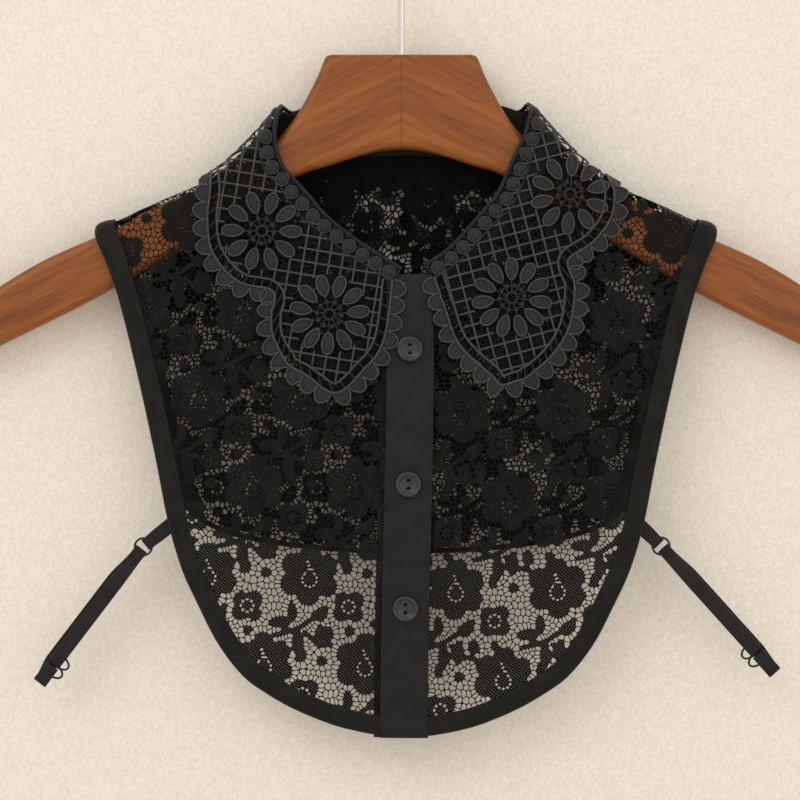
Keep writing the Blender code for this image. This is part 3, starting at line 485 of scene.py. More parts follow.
@dataclass(frozen=True)
class Cloth:
    """A black cloth with a coarse weave of even threads and a soft sheen of its nap."""

    name: str
    dark: str
    pale: str
    roughness: float
    thread: float
    relief: float
    sheen: float
    slant: float = 0.0
    by_uv: bool = False
    shine: float = 0.2
    open_above: float = 1.0

    def make(self) -> bpy.types.Material:
        """Build the material."""
        made, tree, shader = new_material(
            self.name,
            {
                "Roughness": self.roughness,
                "Sheen Weight": self.sheen,
                "Sheen Roughness": 0.45,
                "Specular IOR Level": self.shine,
            },
        )
        source = add_node(tree, "ShaderNodeTexCoord").outputs["UV" if self.by_uv else "Object"]
        turned = add_node(
            tree,
            "ShaderNodeMapping",
            values={"Rotation": (0.0, 0.0, self.slant) if self.by_uv else (0.0, self.slant, 0.0)},
            links={"Vector": source},
        )
        place = turned.outputs[0]
        scale = 0.314 / self.thread
        second = "Y" if self.by_uv else "Z"
        warp = add_node(
            tree, "ShaderNodeTexWave", {"bands_direction": "X"}, {
                "Scale": scale,
                "Distortion": 0.6,
            }, {"Vector": place}
        )
        weft = add_node(
            tree, "ShaderNodeTexWave", {"bands_direction": second}, {
                "Scale": scale,
                "Distortion": 0.6,
            }, {"Vector": place}
        )
        weave = add_node(
            tree, "ShaderNodeMath", {"operation": "MULTIPLY"}, links={
                0: warp.outputs["Fac"],
                1: weft.outputs["Fac"],
            }
        )
        cloud = add_node(
            tree, "ShaderNodeTexNoise", values={"Scale": 130.0, "Detail": 3.0}, links={"Vector": source}
        )
        mixed = add_node(
            tree,
            "ShaderNodeMath",
            {"operation": "MULTIPLY_ADD"},
            {1: 0.35},
            {0: weave.outputs[0], 2: cloud.outputs["Fac"]},
        )
        colour = ramp(tree, mixed.outputs[0], [(0.32, linear(self.dark)), (0.85, linear(self.pale))])
        tree.links.new(colour, shader.inputs["Base Color"])
        bump = add_node(
            tree, "ShaderNodeBump", values={
                "Strength": 0.6,
                "Distance": self.relief,
            }, links={"Height": weave.outputs[0]}
        )
        tree.links.new(bump.outputs[0], shader.inputs["Normal"])
        if self.open_above < 1:
            shut = add_node(
                tree, "ShaderNodeMath", {
                    "operation": "LESS_THAN"
                }, {1: self.open_above}, {0: weave.outputs[0]}
            )
            tree.links.new(shut.outputs[0], shader.inputs["Alpha"])
        return made


@dataclass(frozen=True)
class SatinStitch:
    """Viscose embroidery thread over padding: fine ridges with a silky light along them."""

    name: str = "viscose_satin_stitch"
    dark: str = "#0a0a0a"
    pale: str = "#212122"
    thread: float = 0.95 * MM
    roughness: float = 0.5
    shine: float = 0.3

    def make(self) -> bpy.types.Material:
        """Build the material; the threads run along V of the piece's UV map, in metres."""
        made, tree, shader = new_material(
            self.name,
            {
                "Roughness": self.roughness,
                "Sheen Weight": 0.05,
                "Sheen Roughness": 0.4,
                "Specular IOR Level": self.shine,
            },
        )
        place = add_node(tree, "ShaderNodeTexCoord").outputs["UV"]
        ridges = add_node(
            tree,
            "ShaderNodeTexWave",
            {"bands_direction": "X"},
            {"Scale": 0.314 / self.thread, "Distortion": 1.2, "Detail": 2.0, "Detail Scale": 2.0},
            {"Vector": place},
        )
        fuzz = add_node(
            tree, "ShaderNodeTexNoise", values={"Scale": 900.0, "Detail": 2.0}, links={"Vector": place}
        )
        mixed = add_node(
            tree,
            "ShaderNodeMath",
            {"operation": "MULTIPLY_ADD"},
            {1: 0.5},
            {0: fuzz.outputs["Fac"], 2: ridges.outputs["Fac"]},
        )
        colour = ramp(tree, mixed.outputs[0], [(0.2, linear(self.dark)), (1.1, linear(self.pale))])
        tree.links.new(colour, shader.inputs["Base Color"])
        bump = add_node(
            tree, "ShaderNodeBump", values={
                "Strength": 0.7,
                "Distance": 0.25 * MM,
            }, links={"Height": mixed.outputs[0]}
        )
        tree.links.new(bump.outputs[0], shader.inputs["Normal"])
        return made


@dataclass(frozen=True)
class CastPolyester:
    """Cast polyester button resin, tumbled: near black, with a soft gloss and faint cloud."""

    dark: str = "#131314"
    pale: str = "#232325"

    def make(self) -> bpy.types.Material:
        """Build the material."""
        made, tree, shader = new_material("cast_polyester", {"Roughness": 0.34, "IOR": 1.55})
        place = add_node(tree, "ShaderNodeTexCoord").outputs["Object"]
        cloud = add_node(
            tree, "ShaderNodeTexNoise", values={"Scale": 420.0, "Detail": 3.0}, links={"Vector": place}
        )
        colour = ramp(tree, cloud.outputs["Fac"], [(0.3, linear(self.dark)), (0.75, linear(self.pale))])
        tree.links.new(colour, shader.inputs["Base Color"])
        bump = add_node(
            tree, "ShaderNodeBump", values={
                "Strength": 0.1,
                "Distance": 0.1 * MM,
            }, links={"Height": cloud.outputs["Fac"]}
        )
        tree.links.new(bump.outputs[0], shader.inputs["Normal"])
        return made


@dataclass(frozen=True)
class NylonCoatedSteel:
    """Steel fittings with a baked nylon coat: black, smooth, with worn glints."""

    dark: str = "#17181a"
    pale: str = "#2c2e31"

    def make(self) -> bpy.types.Material:
        """Build the material."""
        made, tree, shader = new_material("nylon_coated_steel", {"Metallic": 0.55, "Roughness": 0.3})
        place = add_node(tree, "ShaderNodeTexCoord").outputs["Object"]
        wear = add_node(
            tree, "ShaderNodeTexNoise", values={"Scale": 600.0, "Detail": 3.0}, links={"Vector": place}
        )
        colour = ramp(tree, wear.outputs["Fac"], [(0.35, linear(self.dark)), (0.8, linear(self.pale))])
        tree.links.new(colour, shader.inputs["Base Color"])
        return made


@dataclass(frozen=True)
class Plaster:
    """Painted plaster wall: warm beige with a fine stipple. From behind it lets the eye through."""

    colour: str = "#efe9e1"
    shade: str = "#e0dacf"
    grit: float = 1.6 * MM

    def make(self) -> bpy.types.Material:
        """Build the material."""
        made, tree, shader = new_material(
            "painted_plaster", {"Roughness": 0.9, "Specular IOR Level": 0.2}
        )
        place = add_node(tree, "ShaderNodeTexCoord").outputs["Object"]
        grit = add_node(
            tree, "ShaderNodeTexNoise", values={
                "Scale": 1.0 / self.grit,
                "Detail": 4.0,
            }, links={"Vector": place}
        )
        colour = ramp(
            tree, grit.outputs["Fac"], [(0.3, linear(self.shade)), (0.7, linear(self.colour))]
        )
        tree.links.new(colour, shader.inputs["Base Color"])
        bump = add_node(
            tree, "ShaderNodeBump", values={
                "Strength": 0.25,
                "Distance": 0.5 * MM,
            }, links={"Height": grit.outputs["Fac"]}
        )
        tree.links.new(bump.outputs[0], shader.inputs["Normal"])
        clear = add_node(tree, "ShaderNodeBsdfTransparent")
        back = add_node(tree, "ShaderNodeNewGeometry").outputs["Backfacing"]
        either = add_node(
            tree, "ShaderNodeMixShader", links={0: back, 1: shader.outputs[0], 2: clear.outputs[0]}
        )
        tree.links.new(either.outputs[0], tree.nodes["Material Output"].inputs["Surface"])
        return made


LACE_THREAD = Cloth(
    "nylon_raschel_thread", "#0b0b0a", "#171716", 0.7, 0.9 * MM, 0.1 * MM, 0.03, shine=0.1
)
LACE_FIGURE = Cloth(
    "nylon_raschel_figure", "#0a0a09", "#181817", 0.7, 1.2 * MM, 0.16 * MM, 0.03, 0.6, True, 0.1, 0.88
)
# Darker copy of the lace thread: painted shade over the upper part of the back
LACE_PAINTED_SHADE = Cloth(
    "nylon_raschel_painted_shade", "#050505", "#0e0e0d", 0.8, 0.9 * MM, 0.1 * MM, 0.0, shine=0.05
)
BINDING_CLOTH = Cloth(
    "cotton_binding", "#100f0e", "#1c1b19", 0.7, 0.8 * MM, 0.1 * MM, 0.06, math.radians(42), shine=0.16
)
PLACKET_CLOTH = Cloth(
    "cotton_sateen", "#0d0d0e", "#191919", 0.5, 0.8 * MM, 0.08 * MM, 0.04, math.radians(30), shine=0.22
)
ELASTIC_CLOTH = Cloth("ribbed_elastic", "#111111", "#222222", 0.6, 0.8 * MM, 0.15 * MM, 0.08, 0.0, True)
SEWING_THREAD = Cloth("spun_polyester_thread", "#151515", "#282828", 0.6, 0.5 * MM, 0.05 * MM, 0.08)
# Paler copy of the satin thread for the raised cords and net bars: painted highlight
EDGE_CORD_PAINTED_HIGHLIGHT = SatinStitch("viscose_edge_cord_painted_highlight", "#222222", "#4a4a4b", 0.8 * MM)


def smoothstep(value: float) -> float:
    """0 below 0, 1 above 1, and a smooth rise between."""
    t = min(1.0, max(0.0, value))
    return t * t * (3.0 - 2.0 * t)


def table_value(rows: list, x: float, column: int) -> float:
    """Read a table of millimetres smoothly.

    Args:
        rows: Rows of the table, sorted by their first number.
        x: Where to read it, in metres.
        column: The column to read.

    Returns:
        The value in metres.
    """
    x = min(max(x / MM, rows[0][0]), rows[-1][0])
    i = next(k for k in range(len(rows) - 1) if x <= rows[k + 1][0])
    low, high = max(i - 1, 0), min(i + 2, len(rows) - 1)
    a, b = rows[i][column], rows[i + 1][column]
    if a == b:
        return a * MM
    width = rows[i + 1][0] - rows[i][0]
    t = (x - rows[i][0]) / width
    start = (b - rows[low][column]) / (rows[i + 1][0] - rows[low][0])
    end = (rows[high][column] - a) / (rows[high][0] - rows[i][0])
    rise = (2 * t**3 - 3 * t**2 + 1) * a + (3 * t**2 - 2 * t**3) * b
    bend = (t**3 - 2 * t**2 + t) * start * width + (t**3 - t**2) * end * width
    return (rise + bend) * MM


def smooth_path(points: list, step: float) -> list[Vector]:
    """Draw a smooth curve through 2D points.

    Args:
        points: The points.
        step: About how far apart its samples are.

    Returns:
        The samples.
    """
    ends = [points[0]] + list(points) + [points[-1]]
    path = []
    for a, b, c, d in zip(ends, ends[1:], ends[2:], ends[3:]):
        a, b, c, d = (Vector(p) for p in (a, b, c, d))
        pieces = max(1, round((c - b).length / step))
        for k in range(pieces):
            t = k / pieces
            square = (2 * a - 5 * b + 4 * c - d) * t * t
            path.append(0.5 * (2 * b + (c - a) * t + square + (3 * b - a - 3 * c + d) * t**3))
    return path + [Vector(points[-1])]


def path_length(path: list) -> float:
    """Length of a path."""
    return sum((b - a).length for a, b in zip(path, path[1:]))


def even_path(path: list, count: int, places: Optional[list] = None) -> list[Vector]:
    """Sample a path evenly.

    Args:
        path: Its points.
        count: How many samples it gets.
        places: Where its points lie in space, where the path itself is flat.

    Returns:
        The samples.
    """
    places = places or path
    lengths = [0.0]
    for a, b in zip(places, places[1:]):
        lengths.append(lengths[-1] + (b - a).length)
    out, k = [], 0
    for i in range(count):
        want = lengths[-1] * i / (count - 1)
        while k < len(path) - 2 and lengths[k + 1] < want:
            k += 1
        span = max(lengths[k + 1] - lengths[k], 1e-9)
        out.append(path[k].lerp(path[k + 1], (want - lengths[k]) / span))
    return out


def heading(path: list, i: int) -> Vector:
    """The direction of a path at one of its points."""
    return path[min(i + 1, len(path) - 1)] - path[max(i - 1, 0)]


def offset_path(path: list, distance: float) -> list[Vector]:
    """Move a 2D path sideways.

    Args:
        path: Its points.
        distance: How far, to the left of its direction.

    Returns:
        The moved points.
    """
    moved = []
    for i, p in enumerate(path):
        along = heading(path, i).normalized()
        moved.append(p + Vector((-along.y, along.x)) * distance)
    return moved


def inside_many(points: np.ndarray, polygon: np.ndarray) -> np.ndarray:
    """Tell which 2D points lie in a closed polygon.

    Args:
        points: Points, one a row.
        polygon: Corners, one a row.

    Returns:
        True for each point inside.
    """
    found = np.zeros(len(points), bool)
    x, y = points[:, 0], points[:, 1]
    for (ax, ay), (bx, by) in zip(polygon, np.roll(polygon, -1, axis=0)):
        if ay == by:
            continue
        crosses = (ay > y) != (by > y)
        found ^= crosses & (x < (bx - ax) * (y - ay) / (by - ay) + ax)
    return found


def fullness(across: float, height: float, side: int) -> float:
    """Tell how far the hanging cloth stands out, with its soft folds.

    Args:
        across: Distance across from the centre.
        height: Height of the point.
        side: 1 in front, -1 behind.

    Returns:
        The distance in metres.
    """
    down = smoothstep((-height / MM - 185.0) / 130.0)
    wave = math.sin(across / MM * math.tau / FOLD_WIDTH + 0.6 * side)
    ripple = math.sin(across / MM * math.tau / RIPPLE_WIDTH + 2.0)
    depth = FRONT_FULLNESS if side > 0 else BACK_FULLNESS
    return (depth + FOLD_DEPTH * wave + RIPPLE_DEPTH * ripple) * down * MM


class Layer:
    """One layer of the cloth as it lies over the hanger: its ridge line, and the roll over the arm."""

    def __init__(self, column: int, roll: float) -> None:
        """Take the layer's column in the ridge table and the radius of its roll."""
        self.roll = roll
        self.quarter = roll * math.pi / 2
        self.step = 0.5 * MM
        self.heights = [table_value(RIDGE, k * self.step, column) for k in range(340)]

    def ridge(self, across: float) -> float:
        """Height of the ridge line."""
        place = min(abs(across) / self.step, 338.0)
        k = int(place)
        return self.heights[k] + (self.heights[k + 1] - self.heights[k]) * (place - k)

    def along(self, across: float, height: float, side: int) -> float:
        """Find the distance along the cloth from the ridge to a height.

        Args:
            across: Distance across from the centre.
            height: The height.
            side: 1 in front, -1 behind.

        Returns:
            The signed distance.
        """
        drop = max(0.0, self.ridge(across) - height)
        if drop < self.roll:
            return side * self.roll * math.acos(1 - drop / self.roll)
        return side * (self.quarter + drop - self.roll)

    def point(self, across: float, along: float, lift: float = 0.0) -> Vector:
        """Place a point of the cloth in space.

        Args:
            across: Signed distance across from the centre.
            along: Signed distance along from the ridge.
            lift: How far it is moved out of the cloth.

        Returns:
            The place.
        """
        side = 1 if along >= 0 else -1
        far = abs(along)
        turn = min(far, self.quarter) / self.roll
        centre = self.ridge(across) - self.roll
        z = centre + (self.roll + lift * RIDGE_SLANT) * math.cos(turn) - max(0.0, far - self.quarter)
        y = (self.roll + lift) * math.sin(turn) + fullness(across, z, side)
        return Vector((across + CENTRE_X, -side * y, z))

    def laid(self, place: tuple, side: int, lift: float = 0.0) -> Vector:
        """Place a point of a pattern, in the plane of the hanging cloth, in space.

        Args:
            place: Signed distance across, and the height in the pattern.
            side: 1 in front, -1 behind.
            lift: How far it is moved out of the cloth.

        Returns:
            The place.
        """
        return self.point(place[0], side * (self.ridge(place[0]) - place[1]), lift)


BASE = Layer(1, BASE_ROLL)
COLLAR = Layer(2, COLLAR_ROLL)


def placket_left(height: float) -> float:
    """Where the top placket's left edge runs: it drifts a little to the left on its way down."""
    return -9.8 * MM - 2.9 * MM * smoothstep((-height / MM - 240.0) / 180.0)


def flat_edge(rows: list, side: int) -> list[Vector]:
    """Lay a panel's outer edge out flat.

    Args:
        rows: Its table of distance across and height.
        side: 1 in front, -1 behind.

    Returns:
        Points with the distance across and the distance down from the ridge, counted as negative.
    """
    curve = smooth_path([(x * MM, z * MM) for x, z in rows], 2.0 * MM)
    return [Vector((p.x, -abs(BASE.along(p.x, p.y, side)))) for p in curve]


def inset_edge(edge: list, distance: float) -> list[Vector]:
    """Move a flat edge in, within the cloth over the roll and in the hanging plane below it.

    Args:
        edge: The flat edge.
        distance: How far.

    Returns:
        The moved edge.
    """
    hung = [Vector((p.x, BASE.ridge(p.x) + p.y)) for p in edge]
    moved = []
    for over, below in zip(offset_path(edge, -distance), offset_path(hung, -distance)):
        below = Vector((below.x, below.y - BASE.ridge(below.x)))
        moved.append(over.lerp(below, smoothstep((-over.y - BASE.quarter) / INSET_BLEND)))
    return moved


def loop_rows(rows: list, mirror: int) -> list[tuple]:
    """Turn a half table into points of the cloth.

    Args:
        rows: Rows of distance across, height and side.
        mirror: 1 for the right half, -1 for the left.

    Returns:
        Pairs of signed distance across and distance along from the ridge.
    """
    return [(mirror * x * MM, BASE.along(x * MM, z * MM, side)) for x, z, side in rows]


def seam_down(across: float, side: int) -> float:
    """Find the distance down from the ridge to the neck seam, or to the shoulder outside it.

    Args:
        across: Distance across from the centre.
        side: 1 in front, -1 behind.

    Returns:
        The distance.
    """
    seam = [p for p in smooth_path(loop_rows(NECK_SEAM, 1), 1.0 * MM) if p.y * side >= 0]
    seam.sort(key=lambda p: p.x)
    for a, b in zip(seam, seam[1:]):
        if a.x <= across <= b.x and b.x > a.x:
            return abs(a.y + (b.y - a.y) * (across - a.x) / (b.x - a.x))
    return abs(seam[0].y) if across < seam[0].x else 0.0


def add_object(name: str, data: bpy.types.ID) -> bpy.types.Object:
    """Make an object and put it in the scene.

    Args:
        name: Its name.
        data: Its mesh, curve, light or camera.

    Returns:
        The object.
    """
    made = bpy.data.objects.new(name, data)
    bpy.context.scene.collection.objects.link(made)
    return made


def mend(mesh: bpy.types.Mesh, merge: float = 0.0, outward: bool = True) -> None:
    """Merge a mesh's close points and turn its faces outward.

    Args:
        mesh: The mesh.
        merge: Distance below which points are merged, or 0 to keep them all.
        outward: Whether its faces are turned outward.
    """
    work = bmesh.new()
    work.from_mesh(mesh)
    if merge:
        bmesh.ops.remove_doubles(work, verts=work.verts, dist=merge)
    if outward:
        bmesh.ops.recalc_face_normals(work, faces=work.faces)
    work.to_mesh(mesh)
    work.free()


def thicken(piece: bpy.types.Object, thickness: float) -> None:
    """Give a sheet its wall, half of it to either side.

    Args:
        piece: The sheet.
        thickness: Thickness of the wall.
    """
    wall = piece.modifiers.new("Wall", "SOLIDIFY")
    wall.thickness = thickness
    wall.offset = 0.0


@dataclass
class MeshMaker:
    """Gathers points and faces of one piece, with a UV place in metres for each point."""

    verts: list = field(default_factory=list)
    uvs: list = field(default_factory=list)
    faces: list = field(default_factory=list)
    looks: list = field(default_factory=list)

    def add(self, points: list, faces: Iterable, uvs: Optional[list] = None, look: int = 0) -> int:
        """Add points and faces.

        Args:
            points: The points.
            faces: Faces, as places in the points.
            uvs: UV place of each point.
            look: Which of the piece's materials the faces have.

        Returns:
            The number of the first point.
        """
        start = len(self.verts)
        self.verts.extend(points)
        self.uvs.extend(uvs or [(0.0, 0.0)] * len(points))
        for face in faces:
            self.faces.append(tuple(start + k for k in face))
            self.looks.append(look)
        return start

    def rows(
        self,
        rows: list,
        uvs: Optional[list] = None,
        wrap: bool = False,
        loop: bool = False,
        caps: bool = False,
        look: int = 0,
    ) -> int:
        """Add a surface through rows of points, each as long as the next.

        Args:
            rows: The rows.
            uvs: Rows of UV places.
            wrap: Whether each row closes on itself.
            loop: Whether the last row meets the first.
            caps: Whether the first and last row are closed with a face.
            look: Which of the piece's materials it has.

        Returns:
            The number of the first point.
        """
        count, faces = len(rows[0]), []
        for i in range(len(rows) if loop else len(rows) - 1):
            for j in range(count if wrap else count - 1):
                k, after = (j + 1) % count, (i + 1) % len(rows)
                faces.append((i * count + j, i * count + k, after * count + k, after * count + j))
        if caps:
            faces.append(tuple(reversed(range(count))))
            faces.append(tuple((len(rows) - 1) * count + k for k in range(count)))
        flat = [place for row in uvs for place in row] if uvs else None
        return self.add([p for row in rows for p in row], faces, flat, look)

    def cord(
        self, points: list, normals: list, profile: list, closed: bool = False, look: int = 0
    ) -> None:
        """Add a cord or band along a path.

        Args:
            points: The path.
            normals: The outward direction at each point.
            profile: Closed cross-section, as pairs of distance to the side and outward.
            closed: Whether the path closes on itself.
            look: Which of the piece's materials it has.
        """
        rows, uvs, far, count = [], [], 0.0, len(points)
        round_it = [math.tau * k / len(profile) for k in range(len(profile))]
        for i, (p, n) in enumerate(zip(points, normals)):
            before = points[(i - 1) % count] if closed else points[max(i - 1, 0)]
            after = points[(i + 1) % count] if closed else points[min(i + 1, count - 1)]
            side = n.cross(after - before).normalized()
            rows.append([p + side * a + n * b for a, b in profile])
            far += (p - points[i - 1]).length if i else 0.0
            uvs.append([(far, turn * 0.5 * MM) for turn in round_it])
        self.rows(rows, uvs, wrap=True, loop=closed, caps=not closed, look=look)

    def piece(
        self, name: str, finishes: list, closed: bool = True, crease: float = 50.0
    ) -> bpy.types.Object:
        """Make the object.

        Args:
            name: Its name.
            finishes: Its materials.
            closed: Whether its faces are turned outward together.
            crease: Angle in degrees above which an edge is sharp.

        Returns:
            The object.
        """
        mesh = bpy.data.meshes.new(name)
        mesh.from_pydata(self.verts, [], self.faces)
        for look in finishes:
            mesh.materials.append(look)
        mesh.polygons.foreach_set("material_index", self.looks)
        layer = mesh.uv_layers.new(name="cloth")
        corners = np.empty(len(mesh.loops), np.int32)
        mesh.loops.foreach_get("vertex_index", corners)
        layer.data.foreach_set("uv", np.array(self.uvs, np.float32)[corners].ravel())
        if closed:
            mend(mesh)
        mesh.shade_smooth()
        if crease < 180:
            mesh.set_sharp_from_angle(angle=math.radians(crease))
        return add_object(name, mesh)


def settle(piece: bpy.types.Object, slot: str, *nodes: str) -> None:
    """Tie a piece to the body, hide the solids it stands for, and log its faces.

    Args:
        piece: The piece.
        slot: Not used.
        nodes: The solids it replaces.
    """
    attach(piece, "root")
    if nodes:
        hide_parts(*nodes)
    if piece.type == "MESH":
        LOG.info("%s: %d faces", piece.name, len(piece.data.polygons))


def round_profile(radius: float, sides: int, flat: float = 1.0, lift: float = 0.0) -> list[tuple]:
    """Give the cross-section of a round cord.

    Args:
        radius: Its radius.
        sides: How many points it has.
        flat: Its height as a share of its width.
        lift: How far its middle stands out.

    Returns:
        Pairs of distance to the side and outward.
    """
    turns = [math.tau * (k + 0.5) / sides for k in range(sides)]
    return [(radius * math.cos(a), lift + radius * flat * math.sin(a)) for a in turns]


class Cell(Enum):
    """What fills one cell of the lace."""

    NET = "net"
    EYE = "eye"
    SOLID = "solid"


@dataclass
class Motif:
    """One motif of the lace: its outline in millimetres, and the eyes open in it."""

    outline: list
    eyes: list = field(default_factory=list)

    def moved(self, place: tuple) -> "Motif":
        """The same motif moved to a place."""
        shift = lambda p: (p[0] + place[0], p[1] + place[1])
        return Motif([shift(p) for p in self.outline], [shift(p) for p in self.eyes])


def petalled(petals: int, petal_at: float, petal_radius: float, turn: float) -> list[tuple]:
    """Draw the outline of a flower of round petals.

    Args:
        petals: How many.
        petal_at: Distance of a petal's middle from the flower's.
        petal_radius: Its radius.
        turn: Turn of the flower in radians.

    Returns:
        The outline.
    """
    out = []
    for k in range(96):
        angle = math.tau * k / 96
        off = (angle - turn + math.pi / petals) % (math.tau / petals) - math.pi / petals
        far = petal_at * math.cos(off)
        far += math.sqrt(max(0.4, petal_radius**2 - (petal_at * math.sin(off)) ** 2))
        out.append((far * math.cos(angle), far * math.sin(angle)))
    return out


def leaf(length: float, width: float, degrees: float, place: tuple) -> list[tuple]:
    """Draw the outline of a leaf with a point at its outer end.

    Args:
        length: Its length.
        width: Its width.
        degrees: The way it points.
        place: Its middle.

    Returns:
        The outline.
    """
    turn = math.radians(degrees)
    out = []
    for k in range(36):
        angle = math.tau * k / 36
        x = length / 2 * math.cos(angle)
        y = width / 2 * math.sin(angle) * (1.0 - 0.18 * math.cos(angle))
        out.append(
            (
                place[0] + x * math.cos(turn) - y * math.sin(turn),
                place[1] + x * math.sin(turn) + y * math.cos(turn),
            )
        )
    return out


def holds(polygon: list, x: float, y: float) -> bool:
    """Whether a closed polygon holds a point."""
    found = False
    ax, ay = polygon[-1]
    for bx, by in polygon:
        if (ay > y) != (by > y) and x < (bx - ax) * (y - ay) / (by - ay) + ax:
            found = not found
        ax, ay = bx, by
    return found


class Bins:
    """Points sorted into square bins, to find near ones."""

    def __init__(self, size: float) -> None:
        """Take the size of a bin."""
        self.size = size
        self.held: dict = {}

    def add(self, p: tuple) -> None:
        """Keep a point."""
        self.held.setdefault((int(p[0] // self.size), int(p[1] // self.size)), []).append(p)

    def near(self, p: tuple, room: float) -> bool:
        """Whether a kept point lies closer than room, which is at most the size of a bin."""
        i, j = int(p[0] // self.size), int(p[1] // self.size)
        for a in (i - 1, i, i + 1):
            for b in (j - 1, j, j + 1):
                for q in self.held.get((a, b), ()):
                    if (q[0] - p[0]) ** 2 + (q[1] - p[1]) ** 2 < room * room:
                        return True
        return False


class Shape:
    """An outline with its bounds, to tell quickly what lies in it."""

    def __init__(self, outline: list) -> None:
        """Take the outline."""
        self.outline = outline
        self.low = (min(p[0] for p in outline), min(p[1] for p in outline))
        self.high = (max(p[0] for p in outline), max(p[1] for p in outline))

    def holds(self, p: Vector) -> bool:
        """Whether a point lies in it."""
        if self.low[0] < p[0] < self.high[0] and self.low[1] < p[1] < self.high[1]:
            return holds(self.outline, p[0], p[1])
        return False


@dataclass
class LacePattern:
    """Floral lace worked out as cells: flowers, florets, leaves and dots in a net of tall cells.

    All its sizes are in millimetres. Seeds of cells are set in a net, in a row round each motif and
    in a matching row inside it, so that the motif's outline falls midway between the two rows.
    """

    column: float = 2.4
    row: float = 3.3
    ring_out: float = 1.7
    ring_in: float = 1.7
    ring_pitch: float = 1.65
    clear: float = 3.0
    wobble: float = 0.12
    stem_side: float = 1.55
    stem_pitch: float = 1.7

    def repeat(self, rng: random.Random) -> tuple[list[Motif], list[list]]:
        """Draw the motifs of one repeat round the middle of its large flower.

        Args:
            rng: Source of the small differences from repeat to repeat.

        Returns:
            The motifs, and the stems as paths.
        """
        eyes = [
            (3.5 * math.cos(a), -2.2 + 3.5 * math.sin(a)) for a in (
                math.radians(135 + 34 * k) for k in range(9)
            )
        ]
        eyes += [(0.6, 2.8), (0.2, 4.7), (-0.5, 6.5)]
        flower = Motif(petalled(6, 9.3, 5.5, math.radians(30 + rng.uniform(-5, 5))), eyes)
        ring = [(3.0 * math.cos(math.tau * k / 8), 3.0 * math.sin(math.tau * k / 8)) for k in range(8)]
        floret = Motif(
            petalled(4, 4.7, 3.8, math.radians(45 + rng.uniform(-8, 8))), ring
        ).moved((19.0, -15.5))
        motifs = [
            flower,
            floret,
            Motif(leaf(10.5, 5.2, 184, (-14.5, -22.8))),
            Motif(leaf(9.5, 6.0, 48, (5.6, -19.0))),
            Motif(leaf(8.0, 5.2, 98, (8.8, -28.4))),
            Motif(leaf(11.0, 5.4, -88, (-5.6, -33.8))),
            Motif(leaf(4.8, 4.8, 0, (28.3, 0.6))),
            Motif(leaf(7.5, 5.2, 80, (18.2, 4.0))),
            Motif(leaf(12.0, 6.0, 84, (27.6, 12.8))),
            Motif(leaf(8.6, 4.4, 92, (-8.4, -17.6))),
            Motif(leaf(4.6, 4.4, 0, (19.5, -27.6))),
        ]
        stems = [
            [(-16.5, -29.0), (-10.5, -27.6), (-5.0, -25.6), (-0.5, -22.5), (3.0, -20.5)],
            [(-4.6, -25.6), (-0.5, -29.5), (3.5, -32.6), (9.5, -34.2)],
            [(-4.8, -25.6), (-5.3, -29.0)],
        ]
        return motifs, stems

    def seeds(
        self, low: tuple, high: tuple, origin: tuple, step: tuple, drop: tuple
    ) -> tuple[list, list]:
        """Set the seeds of all cells over an area.

        Args:
            low: Lower left corner.
            high: Upper right corner.
            origin: Middle of one large flower.
            step: From one repeat to the next in a row.
            drop: From one row of repeats to the next.

        Returns:
            The seeds, and what fills each cell.
        """
        rng = random.Random(11)
        motifs: list = []
        stems: list = []
        for j in range(-8, 9):
            for i in range(-8, 9):
                place = (origin[0] + i * step[0] + j * drop[0], origin[1] + i * step[1] + j * drop[1])
                if low[0] - 35 < place[0] < high[0] + 35 and low[1] - 25 < place[1] < high[1] + 50:
                    own, paths = self.repeat(rng)
                    motifs += [m.moved(place) for m in own]
                    stems += [[(p[0] + place[0], p[1] + place[1]) for p in path] for path in paths]
        places: list = []
        kinds: list = []
        taken = Bins(4.0)

        def put(p: tuple, kind: Cell, room: float) -> None:
            """Keep a seed that has room."""
            inside = low[0] < p[0] < high[0] and low[1] < p[1] < high[1]
            if inside and not taken.near(p, room):
                taken.add(p)
                places.append(p)
                kinds.append(kind)

        rims = [self.rim(m.outline) for m in motifs]
        tree = KDTree(sum(len(rim) for rim in rims))
        for index, p in enumerate(p for rim in rims for p, _ in rim):
            tree.insert((p.x, p.y, 0.0), index)
        tree.balance()
        shapes = [Shape(m.outline) for m in motifs]
        for m in motifs:
            self.open_eyes(m, put)
        for path in stems:
            line = even_path(
                smooth_path(path, 0.5),
                2 + round(path_length([Vector(p) for p in path]) / self.stem_pitch),
            )
            for p in line:
                put(tuple(p), Cell.SOLID, 1.1)
            for side in (1, -1):
                for p in offset_path(line, side * (self.stem_side + 0.3)):
                    if tree.find((p.x, p.y, 0.0))[2] > 1.3 and not any(
                        shape.holds(p) for shape in shapes
                    ):
                        put(tuple(p), Cell.NET, 1.35)
        for own, rim in zip(shapes, rims):
            count = max(5, round(len(rim) * 0.7 / self.ring_pitch))
            for i in range(count):
                p, outward = rim[int(i * len(rim) / count)]
                inner, outer = p - outward * self.ring_in, p + outward * self.ring_out
                if own.holds(inner):
                    put(tuple(inner), Cell.SOLID, 1.0)
                if not any(shape.holds(outer) for shape in shapes if shape is not own):
                    put(tuple(outer), Cell.NET, 1.5)
        self.fill(low, high, tree, [np.array(m.outline) for m in motifs], put, rng)
        return places, kinds

